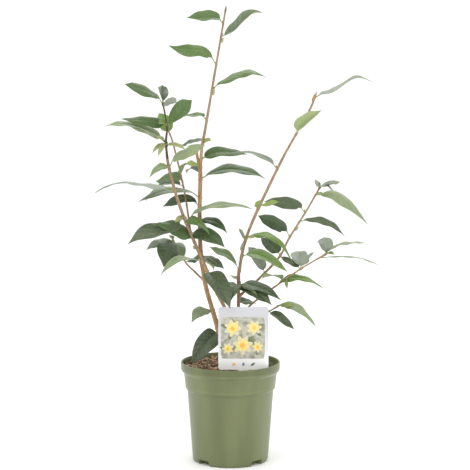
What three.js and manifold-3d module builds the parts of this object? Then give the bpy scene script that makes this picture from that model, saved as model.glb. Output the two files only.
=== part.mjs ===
// Young camellia in its nursery pot: three stems, six side boughs and their leafy shoots.
// Millimetres, +Z up, -Y towards the viewer. The origin is the middle of the pot's flat underside.

import * as THREE from 'three';
import { mergeVertices } from 'three/addons/utils/BufferGeometryUtils.js';
import Module from 'manifold-3d';

const wasm = await Module();
wasm.setup();

// Clearance that keeps neighbouring pieces apart, and the share of it below which a leaf counts as touching
const GAP = 0.3;
const TOUCHING = 0.9;

// Corners of a mesh that are nearer than this are one corner
const WELD = 1e-4;

// Pot: a thin moulded wall that steps out twice on its way up to a rolled rim
const POT_HEIGHT = 171;
const RIM_RADIUS = 85;
const RIM_DEPTH = 13;
const RIM_WIDTH = 3;
const RIM_ROUNDING = 1.2;
const RIM_DRAFT = 0.6;
const BAND_TOP_RADIUS = 79.8;
const BAND_TOP_HEIGHT = 152;
const BAND_FOOT_RADIUS = 77.2;
const BAND_FOOT_HEIGHT = 129;
const STEP_HEIGHT = 124;
const STEP_RADIUS = 74.1;
const BASE_RADIUS = 65;
const BASE_CORNER = 5;
const BASE_ROUNDING = 1.5;
const WALL = 2;
const FLOOR = 2.5;
const POT_SIDES = 40;
const ARC_STEPS = 4;

// Drainage notches: four recesses in the base corner, between four broad feet
const NOTCH_COUNT = 4;
const NOTCH_ANGLE = 20;
const NOTCH_HEIGHT = 9;
const NOTCH_INNER_RADIUS = 53;
const NOTCH_OUTER_RADIUS = 70;

// Bark compost that fills the pot
const SOIL_TOP = 160;
const SOIL_EDGE_DROP = 3;
const SOIL_FLAT_RADIUS = 52;

// Care label: a plain card on a spike that is pushed into the compost
const CARD_WIDTH = 84.5;
const CARD_HEIGHT = 107;
const CARD_BOTTOM = 165;
const CARD_CORNER = 4;
const CARD_THICKNESS = 1.2;
const CARD_CENTRE_X = 22;
const CARD_Y = -45;
const SPIKE_WIDTH = 16;
const SPIKE_DEPTH = 70;

// Stems and boughs: sides of their section, length between rings, how finely a height is found on a
// route and how far apart the points are that give its direction, and the flare at the foot
const STEM_SIDES = 8;
const RING_STEP = 26;
const BISECTIONS = 40;
const DIRECTION_REACH = 0.01;
const FLARE_RADIUS = 2.6;
const FLARE_HEIGHT = 9;

// Leaves: the petiole and how high it lifts the blade, as shares of the leaf's length, the share of the
// blade over which its blunt base opens, the fold of its two halves, and the blade's thickness
const PETIOLE_SHARE = 0.07;
const PETIOLE_RADIUS = 1;
const LIFT_SHARE = 0.04;
const LIFT_END = 0.15;
const OPENING_SHARE = 0.06;
const FOLD_ANGLE = 16;
const LEAF_THICKNESS_SHARE = 0.0105;
const MARGIN_THINNING = 0.7;

// The blade holds its width for most of its length, and is then drawn out to a tip. Its sections stand at
// stations along the leaf, squarely on the midrib's direction between two points a step away.
const BLADE_FULLNESS = 2.1;
const TIP_START = 0.75;
const TIP_END = 0.97;
const TIP_DRAW = 0.25;
const TIP_HALF_WIDTH = 0.4;
const LEAF_STATIONS = [0, 0.07, 0.15, 0.32, 0.52, 0.71, 0.87, 1];
const MIDRIB_STEP = 0.03;

// Width of a leaf as a share of its length, for each kind of leaf on this plant
const LEAF_WIDTH = {
  old: 0.38,
  mid: 0.36,
  bright: 0.36,
  pale: 0.34,
  silver: 0.34,
  slender: 0.2,
  young: 0.5,
};

// Shoots. A route's rows are x, y, height and radius. Its cuts part it into a bare limb and leafy masses.
// A leaf's row is the height of its node, the reach of its tip to the right, away and up, the rise of
// its arched midrib, the roll of its blade in degrees and its kind. Where a leaf has habits of its own,
// they follow: width and opening as shares, lift and bend in millimetres, and fold in degrees.
const SHOOTS = [
  {
    name: 'leader',
    limb: 'stem',
    route: [
      [-2, 6, 150, 5.2],
      [-20, 7, 222, 4.5],
      [-44, 14, 307, 3.9],
      [-52, 18, 386, 3.7],
      [-51, 12, 481, 3.5],
      [-49, 10, 528, 2.4],
      [-42, 5, 569, 2],
      [-25, -2, 667, 1.6],
      [-7, -14, 770, 1.1],
    ],
    cuts: [150, 334, 428, 561, 770],
    leaves: [
      [222, -46, -15, -56, 6, -60, 'old', { width: 0.5, lift: 0 }],
      [258, -35, -41, -16, 12, -32, 'old', { width: 0.49, lift: -2, bend: -2, open: 0.2, fold: -7 }],
      [340, 20, 55, -22, 8, 20, 'old', { lift: 0 }],
      [346, -28, 50, -12, 3, -35, 'old', { lift: 0, fold: -5 }],
      [351, 40, -45, -17, 4, 27, 'old', { width: 0.3, lift: 0, fold: 0, open: 0.2 }],
      [414, 47, -49, -19, 9, 31, 'old', { width: 0.28, lift: -2, bend: -0.5, fold: 0 }],
      [433, -66, 54, -4, 10, -75, 'old', { width: 0.24, lift: 8, bend: 1, open: 0.19, fold: 18 }],
      [450, -101, -45, -2, 14, -17, 'mid', { width: 0.26, lift: 5, fold: 0 }],
      [482, 110, -10, 2, 15, 19, 'mid', { width: 0.39, lift: 2, open: 0.14, fold: 6 }],
      [490, -26, 58, -2, 8, -20, 'old', { open: 0.15 }],
      [503, -24, -22, 6, 2, -50, 'young', { open: 0.3 }],
      [515, 79, 15, 8, 8, 32, 'mid', { lift: 2, fold: 5 }],
      [541, 15, -20, 8, 2, 50, 'young'],
      [548, -40, 55, -12, 3, -30, 'mid', { width: 0.3, lift: 0, fold: 0 }],
      [582, -58, 45, 3, 2, -20, 'mid', { width: 0.24, lift: 9, fold: 5 }],
      [633, 91, 19, 21, 14, 21, 'mid', { width: 0.33, lift: 5, bend: -2.5, open: 0.15, fold: -8 }],
      [676, -78, -32, 31, 2, -56, 'mid', { width: 0.3, lift: 12, bend: 1, open: 0.09, fold: -4 }],
      [722, 69, 21, 40, 3, 24, 'mid', { width: 0.35, lift: 0, bend: -4, open: 0.12, fold: 33 }],
      [743, -59, -48, 9, 2, -48, 'mid', { width: 0.34, lift: 7, bend: 1, open: 0.04, fold: 23 }],
    ],
  },
  {
    name: 'leader_spur',
    limb: 'bough',
    parent: 'leader',
    route: [
      [-51, 12, 498, 2.6],
      [-56, 14, 520, 2.2],
      [-58, 16, 535, 1.8],
    ],
    cuts: [498, 535],
    leaves: [],
  },
  {
    name: 'left',
    limb: 'stem',
    route: [
      [5, -8, 150, 3.8],
      [1, -8, 235, 3.4],
      [-29, -3, 302, 3.1],
      [-50, -2, 351, 3],
      [-67, -12, 393, 2.8],
      [-85, -26, 441, 2.6],
      [-101, -42, 502, 2.2],
      [-106, -52, 546, 1.6],
      [-104, -58, 575, 1.3],
      [-111, -64, 616, 1],
    ],
    cuts: [150, 320, 434, 530, 616],
    leaves: [
      [327, 40, -60, -55, 7, 12, 'old', { width: 0.44, lift: 0 }],
      [342, -72, -25, -21, 19, -15, 'pale', { width: 0.3, lift: 0, bend: -3, fold: 0 }],
      [376, -66, -29, 35, 8, -50, 'mid', { width: 0.39, lift: 5, bend: -0.5, open: 0.09, fold: -18 }],
      [393, 58, -45, -19, 9, 42, 'old', { lift: 0, fold: 0 }],
      [411, 110, -15, 25, 13, 15, 'pale', { width: 0.26, lift: 11, fold: 0 }],
      [416, 42, -28, -22, 8, 25, 'mid', { lift: 0, fold: 5 }],
      [420, -94, -18, -43, 6, -42, 'old', { width: 0.33, lift: -6, bend: -3, fold: -3 }],
      [421, -14, -16, -8, 2, -20, 'young'],
      [468, -131, -21, -3, 11, -2, 'silver', { width: 0.3, lift: 3, bend: -3, fold: 0 }],
      [505, 61, -45, 40, 1, 55, 'pale', { width: 0.31, lift: 14, fold: -5 }],
      [509, -30, -35, -17, 6, -30, 'mid', { width: 0.3, lift: 1, fold: 0 }],
      [543, 33, -20, -6, 3, 30, 'young', { width: 0.3 }],
      [543, -22, -22, -12, 5, -30, 'young', { width: 0.28 }],
      [544, -12, -26, -18, 6, -20, 'young', { width: 0.3 }],
      [547, -98, -25, 29, 13, -30, 'pale', { width: 0.26, lift: 2, fold: 5 }],
      [549, -15, -22, 5, 3, -30, 'young'],
      [570, 40, 42, 47, 4, 42, 'mid', { width: 0.46, open: 0.25, fold: 8 }],
      [574, -74, -20, 14, 2, -40, 'mid', { width: 0.32, fold: -5 }],
      [575, -12, -25, 5, 3, -40, 'young'],
      [610, -61, -29, 35, 2, -42, 'mid', { width: 0.41, lift: 10, open: 0.14, fold: -4 }],
      [611, -4, 58, 31, 2, 15, 'old', { width: 0.34, lift: 3, bend: 1, open: 0.14, fold: 29 }],
      [612, 24, -40, 3, 3, 50, 'silver', { width: 0.42, fold: -10 }],
    ],
  },
  {
    name: 'back_left',
    limb: 'bough',
    parent: 'left',
    route: [
      [-67, -12, 393, 1.6],
      [-72, 8, 423, 1.4],
      [-75, 18, 441, 1.3],
      [-82, 32, 476, 1.2],
      [-98, 46, 540, 1.1],
      [-106, 50, 562, 1],
    ],
    cuts: [393, 462, 562],
    leaves: [
      [468, -66, 10, -26, 16, -10, 'old', { lift: 0 }],
      [477, -48, 42, -4, 4, -55, 'old', { width: 0.42, fold: 0 }],
      [488, 9, -24, 22, 2, 25, 'bright', { width: 0.5 }],
      [556, -21, 40, 35, 3, -30, 'bright', { width: 0.45 }],
    ],
  },
  {
    name: 'low_left',
    limb: 'bough',
    parent: 'leader',
    route: [
      [-44, 14, 307, 1.5],
      [-62, 22, 323, 1.3],
      [-76, 30, 336, 1.2],
      [-90, 40, 358, 1.1],
      [-101, 48, 377, 1],
    ],
    cuts: [307, 364, 377],
    leaves: [
      [370, 17, -40, -24, 6, 10, 'old', { width: 0.5, lift: 0, fold: 0 }],
      [372, -46, -30, -12, 6, -40, 'pale', { lift: 0, fold: -5 }],
      [373, -14, -61, -38, 8, -27, 'old', { width: 0.62, lift: 2, open: 0.16, fold: 0 }],
      [374, -6, -14, 10, 2, 0, 'young'],
    ],
  },
  {
    name: 'right',
    limb: 'stem',
    route: [
      [14, 4, 150, 3.4],
      [14, 3, 302, 2.9],
      [16, 2, 331, 2.8],
      [23, -2, 371, 2.6],
      [37, -8, 411, 2.4],
      [57, -15, 456, 2.2],
      [91, -27, 527, 1.8],
      [130, -38, 598, 1.5],
      [140, -42, 624, 1.3],
    ],
    cuts: [150, 290, 400, 545, 624],
    leaves: [
      [270, 33, 40, -9, 5, 30, 'old', { lift: 1, fold: 5 }],
      [297, -13, -55, -14, 10, 0, 'old'],
      [299, 32, -30, -12, 4, 50, 'mid', { lift: 0 }],
      [300, 56, -42, -26, 5, 30, 'old', { lift: 0 }],
      [301, -24, -36, -6, 4, -30, 'old', { width: 0.45, lift: 0 }],
      [302, 72, -40, -21, 9, 15, 'old', { lift: 0, fold: 5 }],
      [308, -16, 45, 4, 2, 0, 'pale', { width: 0.25 }],
      [326, -51, -25, 45, 8, -35, 'old', { bend: 3, fold: 5 }],
      [350, 78, -31, -21, 11, 11, 'bright', { width: 0.54, lift: 2.4, bend: 2, open: 0.18, fold: 9 }],
      [375, -8, -20, -12, 2, 0, 'slender'],
      [379, -11, -22, 24, 2, 60, 'slender'],
      [383, 14, -18, 2, 2, 30, 'young'],
      [384, 79, -31, -41, 25, 18, 'bright', { width: 0.24, lift: 2, bend: -3, open: 0.11, fold: -6 }],
      [434, 3, -9, 16, 0, 0, 'young', { width: 0.8 }],
      [437, 34, 4, 8, 1, 70, 'young', { width: 0.45, open: 0.5 }],
      [502, -78, 8, 27, 10, -16, 'silver', { width: 0.2, lift: 3.6, bend: 1, open: 0.04, fold: 8 }],
      [560, 41, -34, 42, -2, 64, 'pale', { width: 0.52, lift: 3, open: 0.04, fold: 45 }],
      [622, 92, -25, 26, 5, 5, 'silver', { width: 0.18, lift: 5, bend: -5, open: 0.04, fold: 30 }],
    ],
  },
  {
    name: 'right_arm',
    limb: 'bough',
    parent: 'right',
    route: [
      [14, 3, 281, 2.3],
      [26, 8, 292, 2.1],
      [49, 16, 311, 1.9],
      [84, 28, 347, 1.7],
      [102, 37, 380, 1.5],
      [132, 50, 426, 1.3],
      [155, 60, 465, 1.1],
    ],
    cuts: [281, 316, 394, 465],
    leaves: [
      [320, -28, 30, 42, 6, -30, 'old', { lift: 0 }],
      [349, -33, 45, 25, 3, -40, 'old', { lift: 3, fold: 0 }],
      [380, -55, -15, 39, 5, -64, 'old', { width: 0.43, lift: 9, bend: 2, fold: -25 }],
      [406, 79, 10, -26, 13, 40, 'old', { width: 0.33, lift: 2.6, bend: -2, open: 0.4, fold: 0 }],
      [421, -70, 18, 18, 3, -50, 'old', { width: 0.36, lift: 10, open: 0.12, fold: 0 }],
      [450, 12, -22, 2, 2, 30, 'young'],
      [452, 91, 12, -53, 23, 43, 'pale', { width: 0.38, lift: -2.5, bend: -2, open: 0.3, fold: -20 }],
      [463, 25, -20, -9, 8, 0, 'silver', { width: 0.5, open: 0.5 }],
      [463, 34, -45, 14, 4, -20, 'silver', { width: 0.3, lift: 0, fold: -5 }],
      [464, -9, -25, 16, 0, 20, 'silver', { width: 0.3, lift: 0 }],
    ],
  },
  {
    name: 'low_right',
    limb: 'bough',
    parent: 'right',
    route: [
      [14, 3, 240, 1.7],
      [28, 5, 260, 1.5],
      [44, 0, 276, 1.4],
      [76, -13, 302, 1.3],
      [119, -31, 335, 1.1],
      [161, -50, 363, 1],
    ],
    cuts: [240, 296, 363],
    leaves: [
      [301, 81, -21, 1, 15, 22, 'bright', { width: 0.28, lift: 4, bend: -0.5, open: 0.11, fold: 0 }],
      [312, -36, -50, 11, 6, 0, 'pale'],
      [316, 2, -25, -14, 3, 60, 'pale'],
      [334, -33, 36, 17, 1, -35, 'old', { width: 0.26, fold: 5 }],
      [335, -4, 60, 22, 3, 0, 'silver', { width: 0.52 }],
      [336, 22, 20, 25, 4, 30, 'silver', { width: 0.18, fold: 5 }],
      [355, 98, -9, -11, 8, -6, 'pale', { width: 0.26, bend: -2, open: 0.18, fold: -6, lift: 1 }],
      [360, 68, -30, 24, 8, 15, 'slender', { bend: 1, fold: 0 }],
      [361, 14, -18, 2, 2, 20, 'young'],
      [362, -7, -58, 35, 4, 0, 'silver', { width: 0.44, lift: -1.5, bend: 1, open: 0.15, fold: 11 }],
    ],
  },
  {
    name: 'label_side',
    limb: 'bough',
    parent: 'right',
    route: [
      [14, 3, 226, 1.5],
      [26, 0, 238, 1.3],
      [44, -4, 248, 1.2],
      [65, -8, 258, 1.1],
      [84, -12, 270, 1],
    ],
    cuts: [226, 254, 270],
    leaves: [
      [258, 43, -42, -24, 3, 32, 'old', { width: 0.28, lift: 0, fold: 22 }],
      [267, 64, -41, -28, 16, 20, 'pale', { width: 0.33, lift: 2, open: 0.22, fold: -8 }],
      [268, 24, -22, 4, 1, 60, 'young', { width: 0.55, open: 0.5 }],
    ],
  },
];

// Names of a shoot's leafy masses from the lowest up, by how many it has
const MASS_NAMES = [
  [],
  ['foliage'],
  ['low_foliage', 'top_foliage'],
  ['low_foliage', 'mid_foliage', 'top_foliage'],
];

// Colour and roughness of each material
const BARK = { color: 0xb08a64, roughness: 0.85 };
const LEAF = { color: 0x55733f, roughness: 0.4 };
const MOULDED_PLASTIC = { color: 0x87916a, roughness: 0.55 };
const COMPOST = { color: 0x8a5f45, roughness: 0.95 };
const PRINTED_CARD = { color: 0xeeeeea, roughness: 0.35 };

const plant = new THREE.Group();
const finished = [];
const skipped = [];

function degrees(angle) {
  return THREE.MathUtils.degToRad(angle);
}

// Turns a closed mesh into a solid that can be joined and cut, its faces pointing outwards
function solidFrom(positions, triangles) {
  const corner = (i) => new THREE.Vector3().fromArray(positions, 3 * i);
  const kept = [];
  let volume = 0;
  for (let i = 0; i < triangles.length; i += 3) {
    const [a, b, c] = triangles.slice(i, i + 3);
    if (a !== b && b !== c && c !== a) {
      kept.push(a, b, c);
      volume += corner(a).dot(corner(b).cross(corner(c)));
    }
  }
  if (volume < 0) {
    kept.reverse();
  }
  const mesh = new wasm.Mesh({
    numProp: 3,
    vertProperties: new Float32Array(positions),
    triVerts: new Uint32Array(kept),
  });
  return new wasm.Manifold(mesh);
}

function solidFromGeometry(geometry) {
  const bare = geometry.clone();
  bare.deleteAttribute('normal');
  bare.deleteAttribute('uv');
  const merged = mergeVertices(bare, WELD);
  return solidFrom(Array.from(merged.attributes.position.array), Array.from(merged.index.array));
}

// Skins a row of rings that have equal numbers of points, and closes both ends
function solidFromRings(rings) {
  const sides = rings[0].length;
  const positions = rings.flat().flatMap((point) => point.toArray());
  const triangles = [];
  for (let ring = 0; ring < rings.length - 1; ring += 1) {
    for (let side = 0; side < sides; side += 1) {
      const a = ring * sides + side;
      const b = ring * sides + (side + 1) % sides;
      triangles.push(a, b, b + sides, a, b + sides, a + sides);
    }
  }
  const end = (rings.length - 1) * sides;
  for (let side = 1; side < sides - 1; side += 1) {
    triangles.push(0, side + 1, side);
    triangles.push(end, end + side, end + side + 1);
  }
  return solidFrom(positions, triangles);
}

function addNode(name, solid, finish) {
  const cut = solid.getMesh();
  const geometry = new THREE.BufferGeometry();
  geometry.setAttribute('position', new THREE.BufferAttribute(cut.vertProperties, 3));
  geometry.setIndex(new THREE.BufferAttribute(cut.triVerts, 1));
  geometry.computeVertexNormals();
  const mesh = new THREE.Mesh(geometry, new THREE.MeshStandardMaterial(finish));
  mesh.name = name;
  plant.add(mesh);
  finished.push({ name, solid });
}

// A profile of radius and height, turned about the upright axis
function turned(profile) {
  const points = profile.map(([radius, height]) => new THREE.Vector2(radius, height));
  return solidFromGeometry(new THREE.LatheGeometry(points, POT_SIDES).rotateX(Math.PI / 2));
}

// A block between two radii, about one direction, used for the drainage notches
function ringBlock(inner, outer, bottom, top, direction, width) {
  const start = degrees(direction - width / 2);
  const end = degrees(direction + width / 2);
  const outline = new THREE.Shape();
  outline.absarc(0, 0, outer, start, end, false);
  outline.absarc(0, 0, inner, end, start, true);
  const options = { depth: top - bottom, bevelEnabled: false, curveSegments: ARC_STEPS };
  return solidFromGeometry(new THREE.ExtrudeGeometry(outline, options).translate(0, 0, bottom));
}

function notchBlocks(inset) {
  const blocks = [];
  for (let notch = 0; notch < NOTCH_COUNT; notch += 1) {
    const direction = ((notch + 0.5) * 360) / NOTCH_COUNT;
    const extraAngle = THREE.MathUtils.radToDeg(inset / NOTCH_INNER_RADIUS) * 2;
    blocks.push(ringBlock(
      NOTCH_INNER_RADIUS - inset,
      NOTCH_OUTER_RADIUS,
      inset > 0 ? FLOOR / 2 : -1,
      NOTCH_HEIGHT + inset,
      direction,
      NOTCH_ANGLE + extraAngle,
    ));
  }
  return blocks;
}

function potBody() {
  const rimFoot = POT_HEIGHT - RIM_DEPTH;
  const outside = [
    [0, 0],
    [BASE_RADIUS - BASE_CORNER, 0],
    [BASE_RADIUS - BASE_ROUNDING, BASE_ROUNDING],
    [BASE_RADIUS, BASE_CORNER],
    [STEP_RADIUS, STEP_HEIGHT],
    [BAND_FOOT_RADIUS, BAND_FOOT_HEIGHT],
    [BAND_TOP_RADIUS, BAND_TOP_HEIGHT],
    [RIM_RADIUS - RIM_DRAFT, rimFoot],
    [RIM_RADIUS, POT_HEIGHT - RIM_ROUNDING],
    [RIM_RADIUS - RIM_ROUNDING, POT_HEIGHT],
  ];
  const inside = [
    [RIM_RADIUS - RIM_WIDTH, POT_HEIGHT],
    [BAND_TOP_RADIUS - WALL, BAND_TOP_HEIGHT],
    [BAND_FOOT_RADIUS - WALL, BAND_FOOT_HEIGHT],
    [STEP_RADIUS - WALL, STEP_HEIGHT],
    [BASE_RADIUS - WALL, FLOOR + BASE_CORNER],
    [BASE_RADIUS - WALL - BASE_CORNER, FLOOR],
    [0, FLOOR],
  ];
  const shell = turned([...outside, ...inside]);
  const filled = turned([...outside, [0, POT_HEIGHT]]);
  let body = shell;
  for (const cover of notchBlocks(WALL)) {
    body = body.add(cover.intersect(filled));
  }
  for (const notch of notchBlocks(0)) {
    body = body.subtract(notch);
  }
  return body;
}

function soilBody() {
  const clear = WALL + GAP;
  const edge = SOIL_TOP - SOIL_EDGE_DROP;
  let soil = turned([
    [0, FLOOR + GAP],
    [BASE_RADIUS - clear - BASE_CORNER, FLOOR + GAP],
    [BASE_RADIUS - clear, FLOOR + BASE_CORNER + GAP],
    [STEP_RADIUS - clear, STEP_HEIGHT],
    [BAND_FOOT_RADIUS - clear, BAND_FOOT_HEIGHT + GAP],
    [BAND_TOP_RADIUS - clear, BAND_TOP_HEIGHT + GAP],
    [BAND_TOP_RADIUS - clear + 1, edge],
    [SOIL_FLAT_RADIUS, SOIL_TOP],
    [0, SOIL_TOP],
  ]);
  for (const cover of notchBlocks(WALL + GAP)) {
    soil = soil.subtract(cover);
  }
  return soil.subtract(labelBody(GAP));
}

// The card and its spike are one flat outline; grow widens it all round for the slot in the compost
function labelBody(grow) {
  const left = -CARD_WIDTH / 2 - grow;
  const right = CARD_WIDTH / 2 + grow;
  const bottom = CARD_BOTTOM - grow;
  const top = CARD_BOTTOM + CARD_HEIGHT + grow;
  const half = SPIKE_WIDTH / 2 + grow;
  const outline = new THREE.Shape();
  outline.moveTo(left + CARD_CORNER, bottom);
  outline.lineTo(-half, bottom);
  outline.lineTo(-half, CARD_BOTTOM - SPIKE_DEPTH + SPIKE_WIDTH);
  outline.lineTo(0, CARD_BOTTOM - SPIKE_DEPTH - 2 * grow);
  outline.lineTo(half, CARD_BOTTOM - SPIKE_DEPTH + SPIKE_WIDTH);
  outline.lineTo(half, bottom);
  outline.lineTo(right - CARD_CORNER, bottom);
  outline.absarc(right - CARD_CORNER, bottom + CARD_CORNER, CARD_CORNER, -Math.PI / 2, 0, false);
  outline.absarc(right - CARD_CORNER, top - CARD_CORNER, CARD_CORNER, 0, Math.PI / 2, false);
  outline.absarc(left + CARD_CORNER, top - CARD_CORNER, CARD_CORNER, Math.PI / 2, Math.PI, false);
  outline.absarc(left + CARD_CORNER, bottom + CARD_CORNER, CARD_CORNER, Math.PI, 1.5 * Math.PI, false);
  const depth = CARD_THICKNESS + 2 * grow;
  const card = new THREE.ExtrudeGeometry(outline, { depth, bevelEnabled: false, curveSegments: ARC_STEPS });
  card.rotateX(Math.PI / 2).translate(CARD_CENTRE_X, CARD_Y + depth / 2, 0);
  return solidFromGeometry(card);
}

// A point on a route: every column of its rows follows one smooth Catmull-Rom curve
function onRoute(route, t) {
  const last = route.length - 1;
  const start = Math.min(Math.floor(t), last - 1);
  const u = t - start;
  const row = (i) => route[Math.min(Math.max(i, 0), last)];
  const [before, from, to, after] = [row(start - 1), row(start), row(start + 1), row(start + 2)];
  return from.map((value, column) => {
    const slopeFrom = (to[column] - before[column]) / 2;
    const slopeTo = (after[column] - value) / 2;
    const square = 3 * (to[column] - value) - 2 * slopeFrom - slopeTo;
    const cube = 2 * (value - to[column]) + slopeFrom + slopeTo;
    return value + slopeFrom * u + square * u * u + cube * u * u * u;
  });
}

// Routes only climb, so a height names one place on them
function placeAtHeight(route, height) {
  let low = 0;
  let high = route.length - 1;
  for (let step = 0; step < BISECTIONS; step += 1) {
    const middle = (low + high) / 2;
    if (onRoute(route, middle)[2] < height) {
      low = middle;
    } else {
      high = middle;
    }
  }
  return (low + high) / 2;
}

function directionAt(route, t) {
  const last = route.length - 1;
  const before = onRoute(route, Math.max(t - DIRECTION_REACH, 0));
  const after = onRoute(route, Math.min(t + DIRECTION_REACH, last));
  return new THREE.Vector3(...after.slice(0, 3)).sub(new THREE.Vector3(...before.slice(0, 3))).normalize();
}

// One stretch of a shoot as a tapering limb with flat ends; grow thickens it, for cutting its neighbours
function limbBody(route, stretch, grow) {
  const [first, last] = stretch;
  const length = route[route.length - 1][2] - route[0][2];
  const rings = Math.max(2, Math.ceil((last - first) * length / (route.length - 1) / RING_STEP) + 1);
  const outlines = [];
  for (let ring = 0; ring < rings; ring += 1) {
    const t = first + ((last - first) * ring) / (rings - 1);
    const [x, y, height, radius] = onRoute(route, t);
    const direction = directionAt(route, t);
    const side = new THREE.Vector3(0, 1, 0).cross(direction).normalize();
    const front = direction.clone().cross(side);
    const flare = FLARE_RADIUS * Math.exp(-Math.max(height - SOIL_TOP, 0) / FLARE_HEIGHT);
    const reach = radius + flare + grow;
    const outline = [];
    for (let corner = 0; corner < STEM_SIDES; corner += 1) {
      const angle = (2 * Math.PI * corner) / STEM_SIDES;
      outline.push(new THREE.Vector3(x, y, height)
        .addScaledVector(side, reach * Math.cos(angle))
        .addScaledVector(front, reach * Math.sin(angle)));
    }
    outlines.push(outline);
  }
  return solidFromRings(outlines);
}

// Half the width of a leaf along its length: a thin petiole, then the blade, which opens from its base
function leafHalfWidth(share, fullWidth, opening) {
  if (share <= PETIOLE_SHARE) {
    return PETIOLE_RADIUS;
  }
  const u = (share - PETIOLE_SHARE) / (1 - PETIOLE_SHARE);
  const opened = 1 - Math.exp(-u / opening);
  const body = Math.cos((Math.PI / 2) * u ** BLADE_FULLNESS);
  const drawn = 1 - TIP_DRAW * THREE.MathUtils.smoothstep(u, TIP_START, TIP_END);
  return Math.max(TIP_HALF_WIDTH, 0.5 * fullWidth * opened * body * drawn);
}

// How high the midrib stands over the straight line from the node to the tip: an arch that the bend
// draws towards the base or the tip, on a petiole that lifts the blade
function midribRise(share, arch, lift, bend) {
  const lifted = lift * (1 - share) * THREE.MathUtils.smoothstep(share, 0, LIFT_END);
  return 4 * arch * share * (1 - share) + lifted + bend * Math.sin(2 * Math.PI * share);
}

// One leaf: its midrib arches from the node to the tip, and its two halves fold up from the midrib
function leafBody(node, row) {
  const [, right, away, up, arch, roll, kind, habits = {}] = row;
  const reach = new THREE.Vector3(right, away, up);
  const length = reach.length();
  const { width = LEAF_WIDTH[kind], lift = LIFT_SHARE * length, bend = 0 } = habits;
  const { fold: foldAngle = FOLD_ANGLE, open = OPENING_SHARE } = habits;
  const along = reach.clone().normalize();
  const top = new THREE.Vector3(0, 0, 1).addScaledVector(along, -along.z).normalize();
  const side = along.clone().cross(top).applyAxisAngle(along, degrees(roll));
  const fold = degrees(foldAngle);
  const midrib = (share) => {
    const point = node.clone().addScaledVector(reach, share);
    point.z += midribRise(share, arch, lift, bend);
    return point;
  };
  const rings = LEAF_STATIONS.map((share) => {
    const middle = midrib(share);
    const before = midrib(Math.max(share - MIDRIB_STEP, 0));
    const tangent = midrib(Math.min(share + MIDRIB_STEP, 1)).sub(before).normalize();
    const across = side.clone().addScaledVector(tangent, -side.dot(tangent)).normalize();
    const over = across.clone().cross(tangent);
    const blade = share > PETIOLE_SHARE;
    const half = leafHalfWidth(share, width * length, open);
    const depth = blade ? 0.5 * LEAF_THICKNESS_SHARE * length : PETIOLE_RADIUS;
    const rise = blade ? half * Math.sin(fold) : 0;
    const spread = blade ? half * Math.cos(fold) : half;
    const margin = MARGIN_THINNING * depth;
    const corner = (sideways, upward) => middle.clone()
      .addScaledVector(across, sideways)
      .addScaledVector(over, upward);
    return [
      corner(-spread, rise + margin),
      corner(0, depth),
      corner(spread, rise + margin),
      corner(spread, rise - margin),
      corner(0, -depth),
      corner(-spread, rise - margin),
    ];
  });
  return solidFromRings(rings);
}

function touches(body, other) {
  return body.minGap(other, 2 * GAP) < TOUCHING * GAP;
}

// Parts every shoot at its cuts, each piece a gap short of the next, with its limb cut clear of its parent
function shootPieces(shoot) {
  const masses = MASS_NAMES[shoot.cuts.length - 2];
  return shoot.cuts.slice(0, -1).map((bottom, i) => {
    const margin = (height) => GAP / 2 * directionAt(shoot.route, placeAtHeight(shoot.route, height)).z;
    const from = i === 0 ? bottom : bottom + margin(bottom);
    const top = shoot.cuts[i + 1];
    const to = i === shoot.cuts.length - 2 ? top : top - margin(top);
    return {
      name: `${shoot.name}_${i === 0 ? shoot.limb : masses[i - 1]}`,
      shoot,
      bottom,
      top,
      stretch: [placeAtHeight(shoot.route, from), placeAtHeight(shoot.route, to)],
      bare: i === 0,
    };
  });
}

addNode('pot', potBody(), MOULDED_PLASTIC);
addNode('soil', soilBody(), COMPOST);
addNode('care_label', labelBody(0), PRINTED_CARD);

const pieces = SHOOTS.flatMap(shootPieces);
const facetGrow = GAP / Math.cos(Math.PI / STEM_SIDES);

// Limbs first: stems get a flat foot on the compost, and boughs are cut clear of the shoot they grow from
for (const piece of pieces) {
  const { shoot, stretch } = piece;
  let body = limbBody(shoot.route, stretch, 0);
  if (piece.bare && !shoot.parent) {
    body = body.trimByPlane([0, 0, 1], SOIL_TOP + GAP);
  }
  if (piece.bare && shoot.parent) {
    for (const other of pieces.filter((candidate) => candidate.shoot.name === shoot.parent)) {
      body = body.subtract(limbBody(other.shoot.route, other.stretch, facetGrow));
    }
  }
  piece.limb = body;
}

for (const piece of pieces.filter((candidate) => candidate.bare)) {
  addNode(piece.name, piece.limb, BARK);
}

// Then leaves: each joins its shoot's mass, stands alone on a bare limb, or is left out if it would touch
for (const piece of pieces) {
  const { shoot } = piece;
  const rows = shoot.leaves.filter(([height]) => height >= piece.bottom && height < piece.top);
  let mass = piece.limb;
  rows.forEach((row, index) => {
    const place = onRoute(shoot.route, placeAtHeight(shoot.route, row[0]));
    let leaf = leafBody(new THREE.Vector3(place[0], place[1], place[2]), row);
    if (piece.bare) {
      leaf = leaf.subtract(limbBody(shoot.route, piece.stretch, facetGrow));
    }
    const stretches = pieces.filter((other) => !other.bare && other !== piece);
    const near = [...finished, ...stretches.map(({ name, limb }) => ({ name, solid: limb }))];
    const blocker = near.find(({ solid }) => touches(leaf, solid));
    if (blocker) {
      skipped.push(`${piece.name} ${row.slice(0, 4).join(' ')} by ${blocker.name}`);
    } else if (piece.bare) {
      addNode(`${shoot.name}_leaf_${index + 1}`, leaf, LEAF);
    } else {
      mass = mass.add(leaf);
    }
  });
  if (!piece.bare) {
    addNode(piece.name, mass, LEAF);
  }
}

plant.userData.skipped = skipped;

export default plant;
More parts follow.
